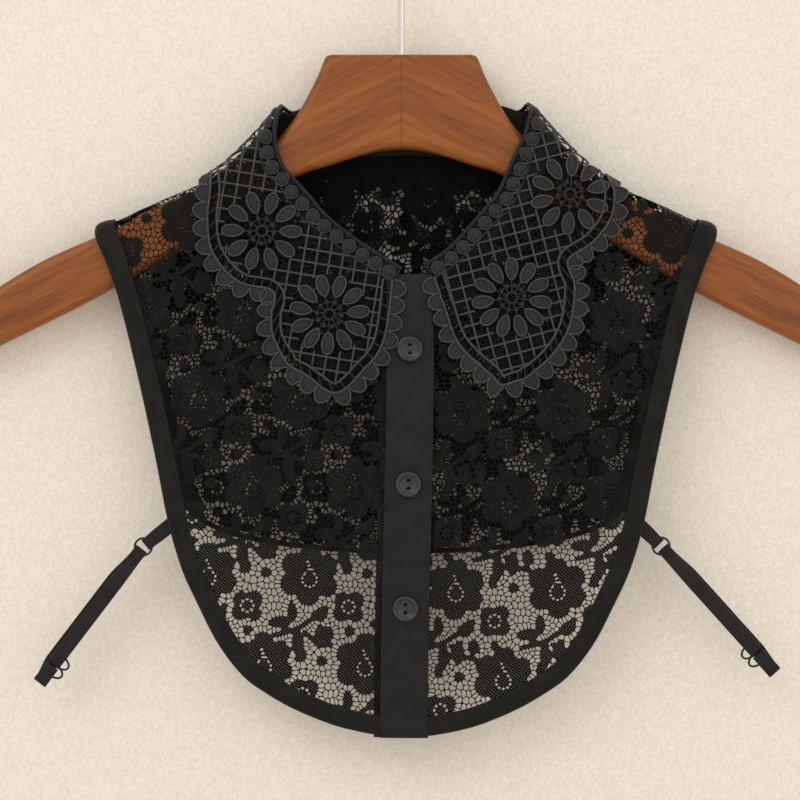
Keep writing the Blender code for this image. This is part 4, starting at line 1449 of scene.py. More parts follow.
    def open_eyes(self, motif: Motif, put: Callable) -> None:
        """Set the eyes of a motif, with solid cells round them.

        Args:
            motif: The motif.
            put: Keeps a seed.
        """
        for p in motif.eyes:
            put(p, Cell.EYE, 0.8)
        count = max(1, len(motif.eyes))
        middle = (sum(p[0] for p in motif.eyes) / count, sum(p[1] for p in motif.eyes) / count)
        for p in motif.eyes:
            away = Vector((p[0] - middle[0], p[1] - middle[1])).normalized()
            for turn in (-0.3, 0.3):
                way = Matrix.Rotation(turn, 2) @ away
                put((p[0] + way.x * 2.1, p[1] + way.y * 2.1), Cell.SOLID, 0.9)
            put((p[0] - away.x * 1.9, p[1] - away.y * 1.9), Cell.SOLID, 0.9)

    def rim(self, outline: list) -> list[tuple]:
        """Sample an outline closely.

        Args:
            outline: The closed outline, anticlockwise.

        Returns:
            Pairs of a point and the way outward.
        """
        path = [Vector(p) for p in outline] + [Vector(outline[0])]
        points = even_path(path, max(8, round(path_length(path) / 0.7)) + 1)[:-1]
        out = []
        for i, p in enumerate(points):
            along = (points[(i + 1) % len(points)] - points[i - 1]).normalized()
            out.append((p, Vector((along.y, -along.x))))
        return out

    def fill(
        self, low: tuple, high: tuple, tree: KDTree, polygons: list, put: Callable, rng: random.Random
    ) -> None:
        """Set the seeds of the net and of the motifs' insides.

        Args:
            low: Lower left corner.
            high: Upper right corner.
            tree: Points of all outlines.
            polygons: The outlines.
            put: Keeps a seed.
            rng: Source of the net's unevenness.
        """
        spots = []
        rows = int((high[1] - low[1]) / self.row) + 2
        columns = int((high[0] - low[0]) / self.column) + 2
        for j in range(rows):
            for i in range(columns):
                x = low[0] + (i + 0.5 * (j % 2)) * self.column + rng.uniform(-1, 1) * self.wobble
                y = low[1] + j * self.row + rng.uniform(-1, 1) * self.wobble
                spots.append((x, y))
        grid = np.array(spots)
        solid = np.zeros(len(grid), bool)
        for polygon in polygons:
            solid |= inside_many(grid, polygon)
        for p, is_solid in zip(spots, solid):
            far = tree.find((p[0], p[1], 0.0))[2]
            if far > self.clear:
                put(p, Cell.SOLID if is_solid else Cell.NET, 1.7)


def shrink(cell: list, width: float) -> list[tuple]:
    """Move every side of a convex cell in.

    Args:
        cell: Its corners, anticlockwise.
        width: How far.

    Returns:
        The corners of what is left, if anything is.
    """
    out = cell
    for (ax, ay), (bx, by) in zip(cell, cell[1:] + cell[:1]):
        ex, ey = bx - ax, by - ay
        size = math.hypot(ex, ey)
        if size < 1e-6:
            continue
        nx, ny = -ey / size, ex / size
        cut = []
        for p, q in zip(out, out[1:] + out[:1]):
            dp = (p[0] - ax) * nx + (p[1] - ay) * ny - width
            dq = (q[0] - ax) * nx + (q[1] - ay) * ny - width
            if dp >= 0:
                cut.append(p)
            if dp * dq < 0:
                t = dp / (dp - dq)
                cut.append((p[0] + (q[0] - p[0]) * t, p[1] + (q[1] - p[1]) * t))
        out = cut
        if len(out) < 3:
            return []
    return out


def rounded(cell: list, share: float = 0.27) -> list[tuple]:
    """A closed polygon with its corners cut off by a share of each side."""
    out = []
    for p, q in zip(cell, cell[1:] + cell[:1]):
        for t in (share, 1 - share):
            out.append((p[0] + (q[0] - p[0]) * t, p[1] + (q[1] - p[1]) * t))
    return out


def ring_faces(outer: list, inner: list, middle: tuple) -> list[tuple]:
    """Fill the ring between two loops round one middle.

    Args:
        outer: Pairs of a point's number and its place.
        inner: The same, for the inner loop.
        middle: The middle.

    Returns:
        Triangles, as points' numbers.
    """

    def turned(loop: list, start: float) -> list[tuple]:
        """Sort a loop by its angle from a start."""
        angles = [
            ((math.atan2(p[1] - middle[1], p[0] - middle[0]) - start) % math.tau, k) for k, p in loop
        ]
        return sorted(angles)

    first = math.atan2(outer[0][1][1] - middle[1], outer[0][1][0] - middle[0])
    out, into = turned(outer, first), turned(inner, first)
    faces, i, j = [], 0, 0
    while i < len(out) or j < len(into):
        next_out = out[i + 1][0] if i + 1 < len(out) else out[0][0] + math.tau
        next_in = into[j + 1][0] if j + 1 < len(into) else into[0][0] + math.tau
        a, b = out[i % len(out)][1], into[j % len(into)][1]
        if j >= len(into) or (i < len(out) and next_out <= next_in):
            faces.append((a, out[(i + 1) % len(out)][1], b))
            i += 1
        else:
            faces.append((a, into[(j + 1) % len(into)][1], b))
            j += 1
    return faces


@dataclass
class LacePanel:
    """One panel of the lace: its region in the pattern, and the holes and threads in it.

    Where the lace lies under the collar its net is closed with thicker threads: the seam allowances and
    stay stitching there are real, and the closed net also paints the shade that falls under the collar.
    """

    name: str
    side: int
    region: list
    origin: tuple
    step: tuple
    drop: tuple
    dense: list
    dense_thread: float = 0.6
    # Height in the pattern above which the back wears the darker lace, as painted shade
    painted_shade_above: float = -225.0
    thread: float = 0.2
    eye_rim: float = 0.42
    raised: float = 0.2 * MM
    sunk: float = -0.06 * MM

    def build(
        self, thread: bpy.types.Material, figure: bpy.types.Material
    ) -> tuple[bpy.types.Object, float]:
        """figure: Material of the closely worked motifs in front; on the back, a darker copy of the
        lace that paints shade over its upper part.

        Returns:
            The piece, and the flat area of its threads in square metres.
        """
        region = np.array(self.region)
        low, high = region.min(axis=0) - 10, region.max(axis=0) + 10
        places, kinds = LacePattern().seeds(tuple(low), tuple(high), self.origin, self.step, self.drop)
        flat, _, triangles, sources, _, _ = delaunay_2d_cdt(
            [Vector(p) for p in places], [], [], 0, 1e-5
        )
        points = np.array([tuple(p) for p in flat])
        corners = points[np.array(triangles)]
        centres = self.circumcentres(corners)
        around: dict = {}
        for k, triangle in enumerate(triangles):
            for v in triangle:
                around.setdefault(v, []).append(k)
        kept = inside_many(points, region)
        dense = inside_many(points, np.array(self.dense))
        maker = MeshMaker()
        numbers: dict = {}
        touched: dict = {}
        flats: list = []
        lifts: list = []
        holes: list = []
        solids: list = []
        for v in range(len(points)):
            if not kept[v] or len(around[v]) < 3:
                continue
            kind = kinds[sources[v][0]]
            x, y = points[v]
            ring = sorted(around[v], key=lambda k: math.atan2(centres[k][1] - y, centres[k][0] - x))
            for k in ring:
                if k not in numbers:
                    numbers[k] = len(flats)
                    flats.append(tuple(centres[k]))
                    lifts.append(0.0)
                touched.setdefault(k, set()).add(kind)
            # Thicker threads close the net in the dense region: partly seam allowances, partly a dark
            # fill that paints the shade under the collar
            rim = self.eye_rim if kind is Cell.EYE else self.dense_thread if dense[v] else self.thread
            (solids if kind is Cell.SOLID else holes).append((ring, rim))
        for k, found in touched.items():
            lifts[numbers[k]] = self.raised * (
                0.3 if found == {Cell.SOLID} else 0.8 if Cell.SOLID in found else 1.0
            )
        faces, area = [], 0.0
        for ring, _ in solids:
            faces.append(tuple(numbers[k] for k in ring))
            area += self.area([flats[numbers[k]] for k in ring])
        figures = len(faces)
        for ring, rim in holes:
            cell = [flats[numbers[k]] for k in ring]
            area += self.area(cell)
            hole = shrink(cell, rim)
            if len(hole) < 3 or self.area(hole) < 0.25:
                faces.append(tuple(numbers[k] for k in ring))
                continue
            hole = rounded(hole)
            area -= self.area(hole)
            start = len(flats)
            flats += hole
            lifts += [self.sunk] * len(hole)
            middle = (sum(p[0] for p in hole) / len(hole), sum(p[1] for p in hole) / len(hole))
            outer = [(numbers[k], p) for k, p in zip(ring, cell)]
            inner = [(start + k, p) for k, p in enumerate(hole)]
            faces += ring_faces(outer, inner, middle)
        hung = [BASE.laid((p[0] * MM, p[1] * MM), self.side, lift) for p, lift in zip(flats, lifts)]
        if self.side < 0:
            faces = [tuple(reversed(face)) for face in faces]
        maker.add(hung, faces, [(p[0] * MM, p[1] * MM) for p in flats])
        if self.side > 0:
            maker.looks[:figures] = [1] * figures
        else:
            # Faces of the back above that height get the darker lace: painted shade
            maker.looks = [1 if flats[face[0]][1] > self.painted_shade_above else 0 for face in faces]
        return maker.piece(
            f"lace_{self.name}", [thread, figure], closed=False, crease=180.0
        ), area * MM * MM

    def circumcentres(self, corners: np.ndarray) -> np.ndarray:
        """Centres of the circles through each triangle's corners."""
        a, b, c = corners[:, 0], corners[:, 1], corners[:, 2]
        ab, ac = b - a, c - a
        cross = 2 * (ab[:, 0] * ac[:, 1] - ab[:, 1] * ac[:, 0])
        cross[np.abs(cross) < 1e-9] = 1e-9
        ab2, ac2 = (ab**2).sum(axis=1), (ac**2).sum(axis=1)
        x = (ac[:, 1] * ab2 - ab[:, 1] * ac2) / cross
        y = (ab[:, 0] * ac2 - ac[:, 0] * ab2) / cross
        return a + np.stack([x, y], axis=1)

    def area(self, polygon: list) -> float:
        """Area of a polygon."""
        return 0.5 * abs(
            sum(p[0] * q[1] - q[0] * p[1] for p, q in zip(polygon, polygon[1:] + polygon[:1]))
        )


@dataclass
class LacePanels:
    """The two lace fronts and the lace back, with the seam over the shoulders."""

    tuck: float = 4.5 * MM
    under_placket: float = 4.0 * MM
    over_seam: float = 1.2 * MM
    back_tuck: float = 2.6 * MM
    under_top: float = 2 * MM
    foot: float = -424.0
    tall: float = 218.0

    def front_region(self, sign: int) -> list[tuple]:
        """Outline one front in the pattern.

        Args:
            sign: 1 for the right front, -1 for the left.

        Returns:
            Corners in millimetres.
        """
        edge = [p for p in inset_edge(flat_edge(FRONT_EDGE, 1), self.tuck) if p.x > 6 * MM]
        outer = [(p.x, BASE.ridge(p.x) + p.y) for p in edge]
        inner = []
        for k in range(40):
            height = (self.foot + self.tall * k / 39) * MM
            if sign < 0:
                across = -placket_left(height) - self.under_placket
            else:
                across = placket_left(height) + PLACKET_WIDTH - PLACKET_STEP - self.under_top
            inner.append((across, height - (BASE.quarter - BASE.roll)))
        top = []
        for k in range(72):
            x = (7.0 + 2.0 * k) * MM
            if x < outer[0][0]:
                top.append((x, BASE.ridge(x) - max(0.0, seam_down(x, 1) - self.over_seam)))
        return [(sign * x / MM, y / MM) for x, y in outer + inner + top]

    def back_region(self) -> list[tuple]:
        """Outline of the back in the pattern, in millimetres."""
        edge = inset_edge(flat_edge(BACK_EDGE, -1), self.back_tuck)
        outer = [(p.x, BASE.ridge(p.x) + p.y) for p in edge]
        top = []
        for k in range(76):
            x = 2.0 * k * MM
            if x < outer[0][0]:
                top.append((x, BASE.ridge(x) - max(0.0, seam_down(x, -1) - self.over_seam)))
        loop = [(-x, y) for x, y in outer] + outer[::-1] + top[::-1] + [(-x, y) for x, y in top]
        return [(x / MM, y / MM) for x, y in loop]

    def under_collar(self, rows: list, sign: int) -> list[tuple]:
        """Outline what the front of the collar covers.

        Args:
            rows: Table of the collar's border cord.
            sign: 1 on the right, -1 on the left.

        Returns:
            Corners in the pattern, in millimetres.
        """
        hang = (BASE.quarter - BASE.roll) / MM
        loop = [(sign * x, z - hang) for x, z, _ in rows]
        return loop + [(sign * 99.0, -90.0), (sign * 2.0, -90.0)]

    def build(
        self, thread: bpy.types.Material, figure: bpy.types.Material, shaded: bpy.types.Material
    ) -> None:
        """Build the three panels.

        Args:
            thread: Material of the net.
            figure: Material of the closely worked motifs.
            shaded: Darker copy of the lace for the back's upper part: painted shade.
        """
        hang = -(BASE.quarter - BASE.roll) / MM
        left, right = self.under_collar(CORD_LEFT, -1), self.under_collar(CORD_RIGHT, 1)
        back = [(-74.0, -162.0), (74.0, -162.0), (74.0, -90.0), (-74.0, -90.0)]
        panels = [
            LacePanel(
                "front_left",
                1,
                self.front_region(-1),
                (-47.0, -346.6 + hang),
                (49.3, -0.8),
                (27.0, -43.4),
                left,
            ),
            LacePanel(
                "front_right",
                1,
                self.front_region(1),
                (24.2, -353.5 + hang),
                (49.6, 0.6),
                (23.2, -42.8),
                right,
            ),
            LacePanel(
                "back",
                -1,
                self.back_region(),
                (-13.6, -203.0 + hang),
                (49.4, 0.0),
                (24.7, -43.0),
                back,
                dense_thread=1.4,
                thread=0.34,
            ),
        ]
        solids = {
            "front_left": "front_panel_left",
            "front_right": "front_panel_right",
            "back": "back_panel",
        }
        for panel in panels:
            looks = (thread, shaded) if panel.side < 0 else (thread, figure)
            piece, area = panel.build(*looks)
            settle(piece, "lace", solids[panel.name])


@dataclass
class Binding:
    """Folded tape along the fronts' and the back's edges, stitched near its inner edge."""

    profile: tuple = (
        (9.5, 1.0),
        (8.7, 0.85),
        (7.8, 1.2),
        (5.6, 1.6),
        (3.2, 1.65),
        (1.5, 1.3),
        (0.6, 0.7),
        (0.3, 0.0),
    )
    wall: float = 0.45 * MM
    pitch: float = 2.9 * MM
    pucker: float = 0.13
    hem: float = -425 * MM
    under_placket: float = 2 * MM
    lead: float = 3 * MM
    hem_share: float = 0.24
    hem_end: float = 99.0
    hem_blend: float = 10.0

    def back_share(self, x: float) -> float:
        """Share of its full width that the back tape has: it is narrower along the hem."""
        wide = smoothstep((x / MM - self.hem_end) / self.hem_blend)
        return self.hem_share + (1 - self.hem_share) * wide

    def rows(
        self, edge: list, side: int, sign: int, narrow: Callable[[float], float]
    ) -> tuple[list, list]:
        """Lay the tape's cross-section along an edge.

        Args:
            edge: The flat edge.
            side: 1 in front, -1 behind.
            sign: 1 on the right, -1 on the left.
            narrow: Share of the full width, by distance across.

        Returns:
            Rows of points, and rows of UV places.
        """
        both = [(far, lift) for far, lift in self.profile] + [
            (far, -lift) for far, lift in reversed(self.profile[:-1])
        ]
        full = {far: inset_edge(edge, far * MM) for far, _ in self.profile}
        rows, uvs, run = [], [], 0.0
        for i, at in enumerate(edge):
            run += (at - edge[i - 1]).length if i else 0.0
            share = narrow(at.x)
            row, places = [], []
            for far, lift in both:
                near = full[0.3][i]
                p = near.lerp(full[far][i], share) if share < 1 else full[far][i]
                ripple = math.sin(run / MM * math.tau / 6.3 + 2.0 * math.sin(run / MM / 17.0))
                swell = math.sin(run / MM * math.tau / 41.0 + side)
                gathered = smoothstep((far - 3.0) / 4.0) * self.pucker
                out = lift + math.copysign(
                    gathered * ripple + 0.12 * swell * min(1.0, far / 3.0), lift
                ) * (lift != 0)
                row.append(BASE.point(sign * p.x, side * max(0.0, -p.y), out * MM))
                places.append((run, far * MM * (1 if lift > 0 else -1)))
            rows.append(row)
            uvs.append(places)
        return rows, uvs

    def strip(self, name: str, rows: list, uvs: list, look: bpy.types.Material) -> bpy.types.Object:
        """Make the tape with its wall.

        Args:
            name: Its name.
            rows: Rows of points.
            uvs: Rows of UV places.
            look: Its material.

        Returns:
            The piece.
        """
        maker = MeshMaker()
        maker.rows(rows, uvs)
        piece = maker.piece(name, [look], closed=False, crease=180.0)
        thicken(piece, self.wall)
        return piece

    def stitches(self, name: str, line: list, outs: list, look: bpy.types.Material) -> bpy.types.Object:
        """Sew a row of stitches along a line.

        Args:
            name: Its name.
            line: Points of the line.
            outs: The outward direction at each point.
            look: Material of the thread.

        Returns:
            The piece.
        """
        maker = MeshMaker()
        count = max(2, round(path_length(line) / self.pitch))
        fine = even_path(line, 6 * count + 1)
        tree = KDTree(len(line))
        for k, p in enumerate(line):
            tree.insert(p, k)
        tree.balance()
        for k in range(count):
            run = fine[6 * k : 6 * k + 5]
            ends = [outs[tree.find(p)[1]] for p in run]
            depth = [-0.12, 0.1, 0.16, 0.1, -0.12]
            points = [p + n * d * MM for p, n, d in zip(run, ends, depth)]
            maker.cord(points, ends, round_profile(0.22 * MM, 5))
        return maker.piece(name, [look])

    def build(self, look: bpy.types.Material, thread: bpy.types.Material) -> None:
        """Build the two front tapes and the back tape, and sew them.

        Args:
            look: Material of the tape.
            thread: Material of the thread.
        """
        for name, sign in (("left", -1), ("right", 1)):
            stop = -placket_left(self.hem) + self.under_placket
            if sign > 0:
                stop = placket_left(self.hem) + PLACKET_WIDTH - self.under_placket
            edge = [p for p in flat_edge(FRONT_EDGE, 1) if p.x > stop - self.lead]
            edge = even_path(edge, 190)
            rows, uvs = self.rows(edge, 1, sign, lambda x: 1.0)
            piece = self.strip(f"binding_front_{name}", rows, uvs, look)
            settle(piece, "tape", f"front_tape_{name}")
            self.sew(f"binding_stitch_{name}", rows, 1, thread)
        edge = even_path(flat_edge(BACK_EDGE, -1), 130)
        left, left_uvs = self.rows(edge, -1, -1, self.back_share)
        right, right_uvs = self.rows(edge, -1, 1, self.back_share)
        rows, uvs = left + right[-2::-1], left_uvs + right_uvs[-2::-1]
        piece = self.strip("binding_back", rows, uvs, look)
        settle(piece, "tape", "back_tape")
        self.sew("binding_stitch_back", rows, -1, thread)

    def sew(self, name: str, rows: list, side: int, thread: bpy.types.Material) -> None:
        """Sew along the tape's inner edge.

        Args:
            name: Name of the stitching.
            rows: The tape's rows.
            side: 1 in front, -1 behind.
            thread: Its material.
        """
        line = [row[0].lerp(row[1], 0.8) for row in rows]
        outs, inner = [], [row[1] for row in rows]
        for i, row in enumerate(rows):
            out = heading(inner, i).cross(row[2] - row[0]).normalized()
            want = Vector((0.0, -side * 1.0, 0.35))
            outs.append(out if out.dot(want) > 0 else -out)
        line = [p + n * self.wall / 2 for p, n in zip(line, outs)]
        piece = self.stitches(name, line, outs, thread)
        settle(piece, "tape")


@dataclass
class Crease:
    """A soft crease of a placket: height at the middle, slope, half width and depth, in millimetres."""

    height: float
    slope: float
    half_width: float
    depth: float


@dataclass
class Placket:
    """One strip of the buttoned front, folded from sateen and pressed."""

    name: str
    node: str
    shift: float
    lift: float
    top: float = PLACKET_TOP
    thick: float = 1.2 * MM
    pressed: float = 0.14 * MM
    echo: float = 0.4
    echo_at: float = 1.3
    held_share: float = 0.4
    free_share: float = 1.9
    button_room: float = 7.0
    creases: tuple = (
        Crease(-252.0, 0.55, 7.0, 0.30),
        Crease(-272.0, 0.8, 5.0, 0.22),
        Crease(-290.0, -0.4, 6.0, 0.2),
        Crease(-320.0, 0.75, 6.0, 0.3),
        Crease(-336.0, 0.6, 4.5, 0.18),
        Crease(-352.0, -0.5, 5.0, 0.2),
        Crease(-383.0, 0.7, 7.0, 0.28),
        Crease(-402.0, 0.45, 6.0, 0.22),
    )

    def crease_lift(self, across: float, height: float) -> float:
        """Add up the creases.

        Args:
            across: Millimetres from the strip's middle.
            height: Height in millimetres.

        Returns:
            How far the cloth stands out, in millimetres.
        """
        total = 0.0
        for fold in self.creases:
            off = (height - fold.height - fold.slope * across) / fold.half_width
            hollow = self.echo * math.exp(-((off - self.echo_at) ** 2))
            total += fold.depth * math.exp(-off * off) - hollow * fold.depth
        room = min(abs(height - button) for button in BUTTON_HEIGHTS)
        free = smoothstep((room - self.button_room) / self.button_room)
        return total * (self.held_share + self.free_share * free)

    def build(self, look: bpy.types.Material) -> None:
        """Build the strip.

        Args:
            look: Its material.
        """
        half = self.thick / 2
        half_wide = PLACKET_WIDTH / 2
        columns = [
            -1.0, -0.985, -0.95, -0.88, -0.7, -0.45, -0.2, 0.0, 0.2, 0.45, 0.7, 0.88, 0.95, 0.985, 1.0
        ]
        rows, uvs = [], []
        count = 110
        for k in range(count + 1):
            height = self.top + (PLACKET_FOOT - self.top) * k / count
            end = min(1.0, 0.25 + min(k, count - k) / 1.5)
            middle = placket_left(height) + self.shift + half_wide
            row, places = [], []
            for way in (1, -1):
                for c in columns if way > 0 else columns[::-1]:
                    edge = math.sqrt(max(0.0, 1.0 - max(0.0, (abs(c) - 0.94) / 0.06) ** 2))
                    across = middle + c * half_wide
                    puff = self.pressed * smoothstep((1.0 - abs(c)) / 0.25)
                    out = self.lift + way * (half * edge * end - self.pressed + puff)
                    out += self.crease_lift(c * half_wide / MM, height / MM) * MM * (
                        0.35 + 0.65 * smoothstep((1 - abs(c)) * 3)
                    )
                    row.append(BASE.point(across, BASE.along(across, height, 1), out))
                    places.append((c * half_wide, height))
            rows.append(row)
            uvs.append(places)
        maker = MeshMaker()
        maker.rows(rows, uvs, wrap=True, caps=True)
        piece = maker.piece(self.name, [look], crease=60.0)
        settle(piece, "placket_cloth", self.node)


@dataclass
class PlacketDetails:
    """Edge stitching of the top placket and the buttonholes under its buttons."""

    edge_stitch: float = 1.4 * MM
    slit: float = 15.0 * MM

    def surface(self, across: float, height: float, out: float) -> Vector:
        """A place on the top placket's face, moved out."""
        return BASE.point(across, BASE.along(across, height, 1), PLACKET_LIFT + 0.6 * MM + out)

    def build(self, thread: bpy.types.Material) -> None:
        """Sew the edges and work the buttonholes.

        Args:
            thread: Material of the thread.
        """
        outs = [Vector((0.0, -1.0, 0.0))] * 90
        for name, inset in (("left", self.edge_stitch), ("right", PLACKET_WIDTH - self.edge_stitch)):
            line = []
            for k in range(90):
                height = PLACKET_TOP + (PLACKET_FOOT - PLACKET_TOP) * (k + 0.5) / 90
                line.append(self.surface(placket_left(height) + inset, height, 0.02 * MM))
            piece = Binding(pitch=2.4 * MM).stitches(f"placket_stitch_{name}", line, outs, thread)
            settle(piece, "placket_cloth")
        maker = MeshMaker()
        for at in BUTTON_HEIGHTS:
            middle = placket_left(at * MM) + PLACKET_WIDTH / 2
            for side in (-1, 1):
                bars = 26
                for k in range(bars):
                    height = at * MM + (k / (bars - 1) - 0.5) * self.slit
                    start = self.surface(middle + side * 0.25 * MM, height, 0.0)
                    end = self.surface(middle + side * 1.35 * MM, height, 0.0)
                    out = Vector((0.0, -1.0, 0.0))
                    path = [start, start.lerp(end, 0.5) + out * 0.28 * MM, end]
                    maker.cord(path, [out] * 3, round_profile(0.3 * MM, 5))
        piece = maker.piece("placket_buttonholes", [thread])
        settle(piece, "placket_cloth")


@dataclass
class NeckBand:
    """The band round the neck, one strip from the left front to the right front."""

    wall: float = 0.9 * MM
    columns: int = 260

    def build(self, look: bpy.types.Material) -> None:
        """Build the band.

        Args:
            look: Its material.
        """
        fold = loop_rows(FOLD_LEFT, -1)[:-1] + [(0.0, BASE.along(0.0, -119.5 * MM, -1))]
        fold = even_path(
            smooth_path(fold + loop_rows(FOLD_RIGHT, 1)[:-1][::-1], 2.0 * MM), self.columns
        )
        seam = loop_rows(NECK_SEAM, -1)
        seam = even_path(smooth_path(seam + loop_rows(NECK_SEAM, 1)[:-1][::-1], 2.0 * MM), self.columns)
        rows, uvs, run = [], [], 0.0
        for i, (a, b) in enumerate(zip(fold, seam)):
            run += (b - seam[i - 1]).length if i else 0.0
            steps = [k / 8 for k in range(9)]
            row = [a.lerp(b, t) for t in steps]
            rows.append(
                [BASE.point(p.x, p.y, 0.25 * MM * math.sin(math.pi * t)) for p, t in zip(row, steps)]
            )
            uvs.append([(run, (b - a).length * t) for t in steps])
        maker = MeshMaker()
        maker.rows(rows, uvs)
        piece = maker.piece("neck_band_cloth", [look], closed=False, crease=180.0)
        thicken(piece, self.wall)
        settle(piece, "lace", "neck_band")


@dataclass
class GuipureSizes:
    """Sizes of the guipure embroidery."""

    ground: float = 0.75 * MM
    over_placket: float = 0.9 * MM
    net_pitch: float = 6.3 * MM
    net_bar: float = 0.56 * MM
    net_step: float = 1.5 * MM
    net_below_fold: float = 1.5 * MM
    net_room: float = 18.3 * MM
    petal_in: float = 8.9
    petal_out: float = 19.4
    petal_half: float = 3.15
    petal_rise: float = 0.6 * MM
    rim_cord: float = 0.52 * MM
    ring: float = 2.6
    dot_ring: float = 6.0
    dot: float = 1.25
    border_gap: float = 4.6 * MM
    border_cord: float = 0.66 * MM
    ladder: float = 5.9 * MM
    scallop: float = 8.3 * MM
    scallop_root: float = 1.0 * MM
    scallop_reach: float = 7.0 * MM
    fold_dot: float = 3.15 * MM
    fold_dot_inset: float = 5.4 * MM
    fold_dot_pitch: float = 7.5 * MM


class GuipureCollar:
    """One half of the guipure collar, embroidered in the flat and laid over the shoulder."""

    def __init__(
        self, name: str, sign: int, fold: list, cord: list, flowers: list, tilt: float
    ) -> None:
        """Take the half's tables.

        Args:
            name: left or right.
            sign: 1 on the right, -1 on the left.
            fold: Table of the fold line.
            cord: Table of the outer border cord in front.
            flowers: Middle, side, number of petals and turn in degrees of each flower.
            tilt: Slope of the net's bars.
        """
        self.name = name
        self.sign = sign
        self.tilt = tilt
        self.flowers = flowers
        self.sizes = GuipureSizes()
        self.maker = MeshMaker()
        self.fold = self.spread(fold)
        self.cord = self.spread(cord + CORD_BACK)

    def spread(self, rows: list) -> list[Vector]:
        """Turn a table into an even path on the cloth.

        Args:
            rows: Distance across, height and side.

        Returns:
            Points with the distance across, outward on either half, and the distance along.
        """
        points = [(x * MM, COLLAR.along(x * MM, z * MM, side)) for x, z, side in rows]
        path = smooth_path(points, 1.0 * MM)
        return even_path(path, max(2, round(path_length(path) / (1.0 * MM))))

    def lie(self, p: Vector, lift: float) -> Vector:
        """Place a point of the half in space.

        Args:
            p: Distance across outward, and distance along.
            lift: Height above the plain inner face.

        Returns:
            The place.
        """
        step = smoothstep((24.0 - abs(p[0] / MM)) / 12.0) * smoothstep(p[1] / COLLAR.quarter - 1)
        under = -self.sizes.ground + self.sizes.over_placket * step
        return COLLAR.point(self.sign * p[0], p[1], under + lift)

    def out(self, p: Vector) -> Vector:
        """The outward direction at a point."""
        return (self.lie(p, 2 * MM) - self.lie(p, 0.0)).normalized()

    def shifted(self, p: Vector, toward: Vector, distance: float) -> Vector:
        """Move a point over the cloth, toward a direction in space.

        Args:
            p: The point.
            toward: The direction.
            distance: How far.

        Returns:
            The moved point.
        """
        tiny = 0.2 * MM
        here = self.lie(p, 0.0)
        dx = (self.lie(Vector((p[0] + tiny, p[1])), 0.0) - here) / tiny
        ds = (self.lie(Vector((p[0], p[1] + tiny)), 0.0) - here) / tiny
        a, b, c = dx.dot(dx), dx.dot(ds), ds.dot(ds)
        u, v = dx.dot(toward), ds.dot(toward)
        det = max(a * c - b * b, 1e-6)
        move = Vector(((u * c - v * b) / det, (v * a - u * b) / det))
        return Vector((p[0] + move.x * distance, p[1] + move.y * distance))

    def beside(self, path: list, distance: float) -> list[Vector]:
        """Move a path over the cloth to one side of its direction, as seen from outside.

        Args:
            path: Its points.
            distance: How far, to the left.

        Returns:
            The moved path.
        """
        moved = []
        for i, p in enumerate(path):
            a, b = path[max(i - 1, 0)], path[min(i + 1, len(path) - 1)]
            along = self.lie(b, 0.0) - self.lie(a, 0.0)
            toward = self.out(p).cross(along).normalized()
            moved.append(self.shifted(p, toward, distance))
        return moved

    def plane(self, place: tuple, side: int) -> Vector:
        """Find a point of the cloth by its place in the hanging plane.

        Args:
            place: Distance across outward, and height in the pattern.
            side: 1 in front, -1 behind.

        Returns:
            Distance across and distance along.
        """
        return Vector((place[0], side * (COLLAR.ridge(place[0]) - place[1])))

    def run(
        self,
        path: list,
        radius: float,
        lift: float,
        sides: int = 7,
        flat: float = 1.0,
        closed: bool = False,
        look: int = 0,
    ) -> None:
        """Lay a cord along a path.

        Args:
            path: Points on the cloth.
            radius: The cord's radius.
            lift: Height of its middle above the inner face.
            sides: Points of its cross-section.
            flat: Its height as a share of its width.
            closed: Whether it closes on itself.
            look: 1 for the paler edge thread, a painted highlight on the raised cords.
        """
        points = [self.lie(p, 0.0) for p in path]
        outs = [self.out(p) for p in path]
        self.maker.cord(points, outs, round_profile(radius, sides, flat, lift), closed, look)

    def pad(self, outline: list, middle: Vector, base: float, rise: float, uvs: list) -> None:
        """Embroider a padded shape.

        Args:
            outline: Points of the outline, on the cloth.
            middle: Its middle.
            base: Height of its outline above the inner face.
            rise: How far its middle stands above that.
            uvs: UV place of each outline point, round its middle.
        """
        rings = [(1.0, -0.7), (1.0, 0.0), (0.93, 0.42), (0.76, 0.74), (0.5, 0.93), (0.2, 1.0)]
        rows, places = [], []
        for share, up in rings:
            height = base + (rise * up if up > 0 else up * base)
            rows.append([self.lie(middle.lerp(p, share), height) for p in outline])
            places.append([(u * share, v * share) for u, v in uvs])
        start = self.maker.rows(rows, places, wrap=True)
        count = len(outline)
        self.maker.faces.append(tuple(start + k for k in range(count)))
        self.maker.faces.append(tuple(start + 5 * count + k for k in reversed(range(count))))
        self.maker.looks += [0, 0]

    def petal(self, flower: tuple, angle: float) -> None:
        """Embroider one petal with its raised outline.

        Args:
            flower: Middle and side of the flower.
            angle: The way the petal points.
        """
        s = self.sizes
        x0, v0, side = flower
        long = s.petal_out - s.petal_in
        outline, uvs, count = [], [], 26
        for k in range(count):
            turn = math.tau * k / count
            far = 0.5 * (1 - math.cos(turn))
            half = s.petal_half * math.sin(turn) * far**0.16
            u, v = s.petal_in + far * long, half
            x = (u * math.cos(angle) - v * math.sin(angle)) * MM
            y = (u * math.sin(angle) + v * math.cos(angle)) * MM
            outline.append(self.plane((x0 + x, v0 + y), side))
            uvs.append((v * MM, (far - 0.5) * long * MM))
        reach = (s.petal_in + 0.58 * long) * MM
        middle = self.plane((x0 + reach * math.cos(angle), v0 + reach * math.sin(angle)), side)
        self.pad(outline, middle, 0.95 * MM, s.petal_rise, uvs)
        self.run(outline, s.rim_cord, 1.4 * MM, 6, closed=True, look=1)

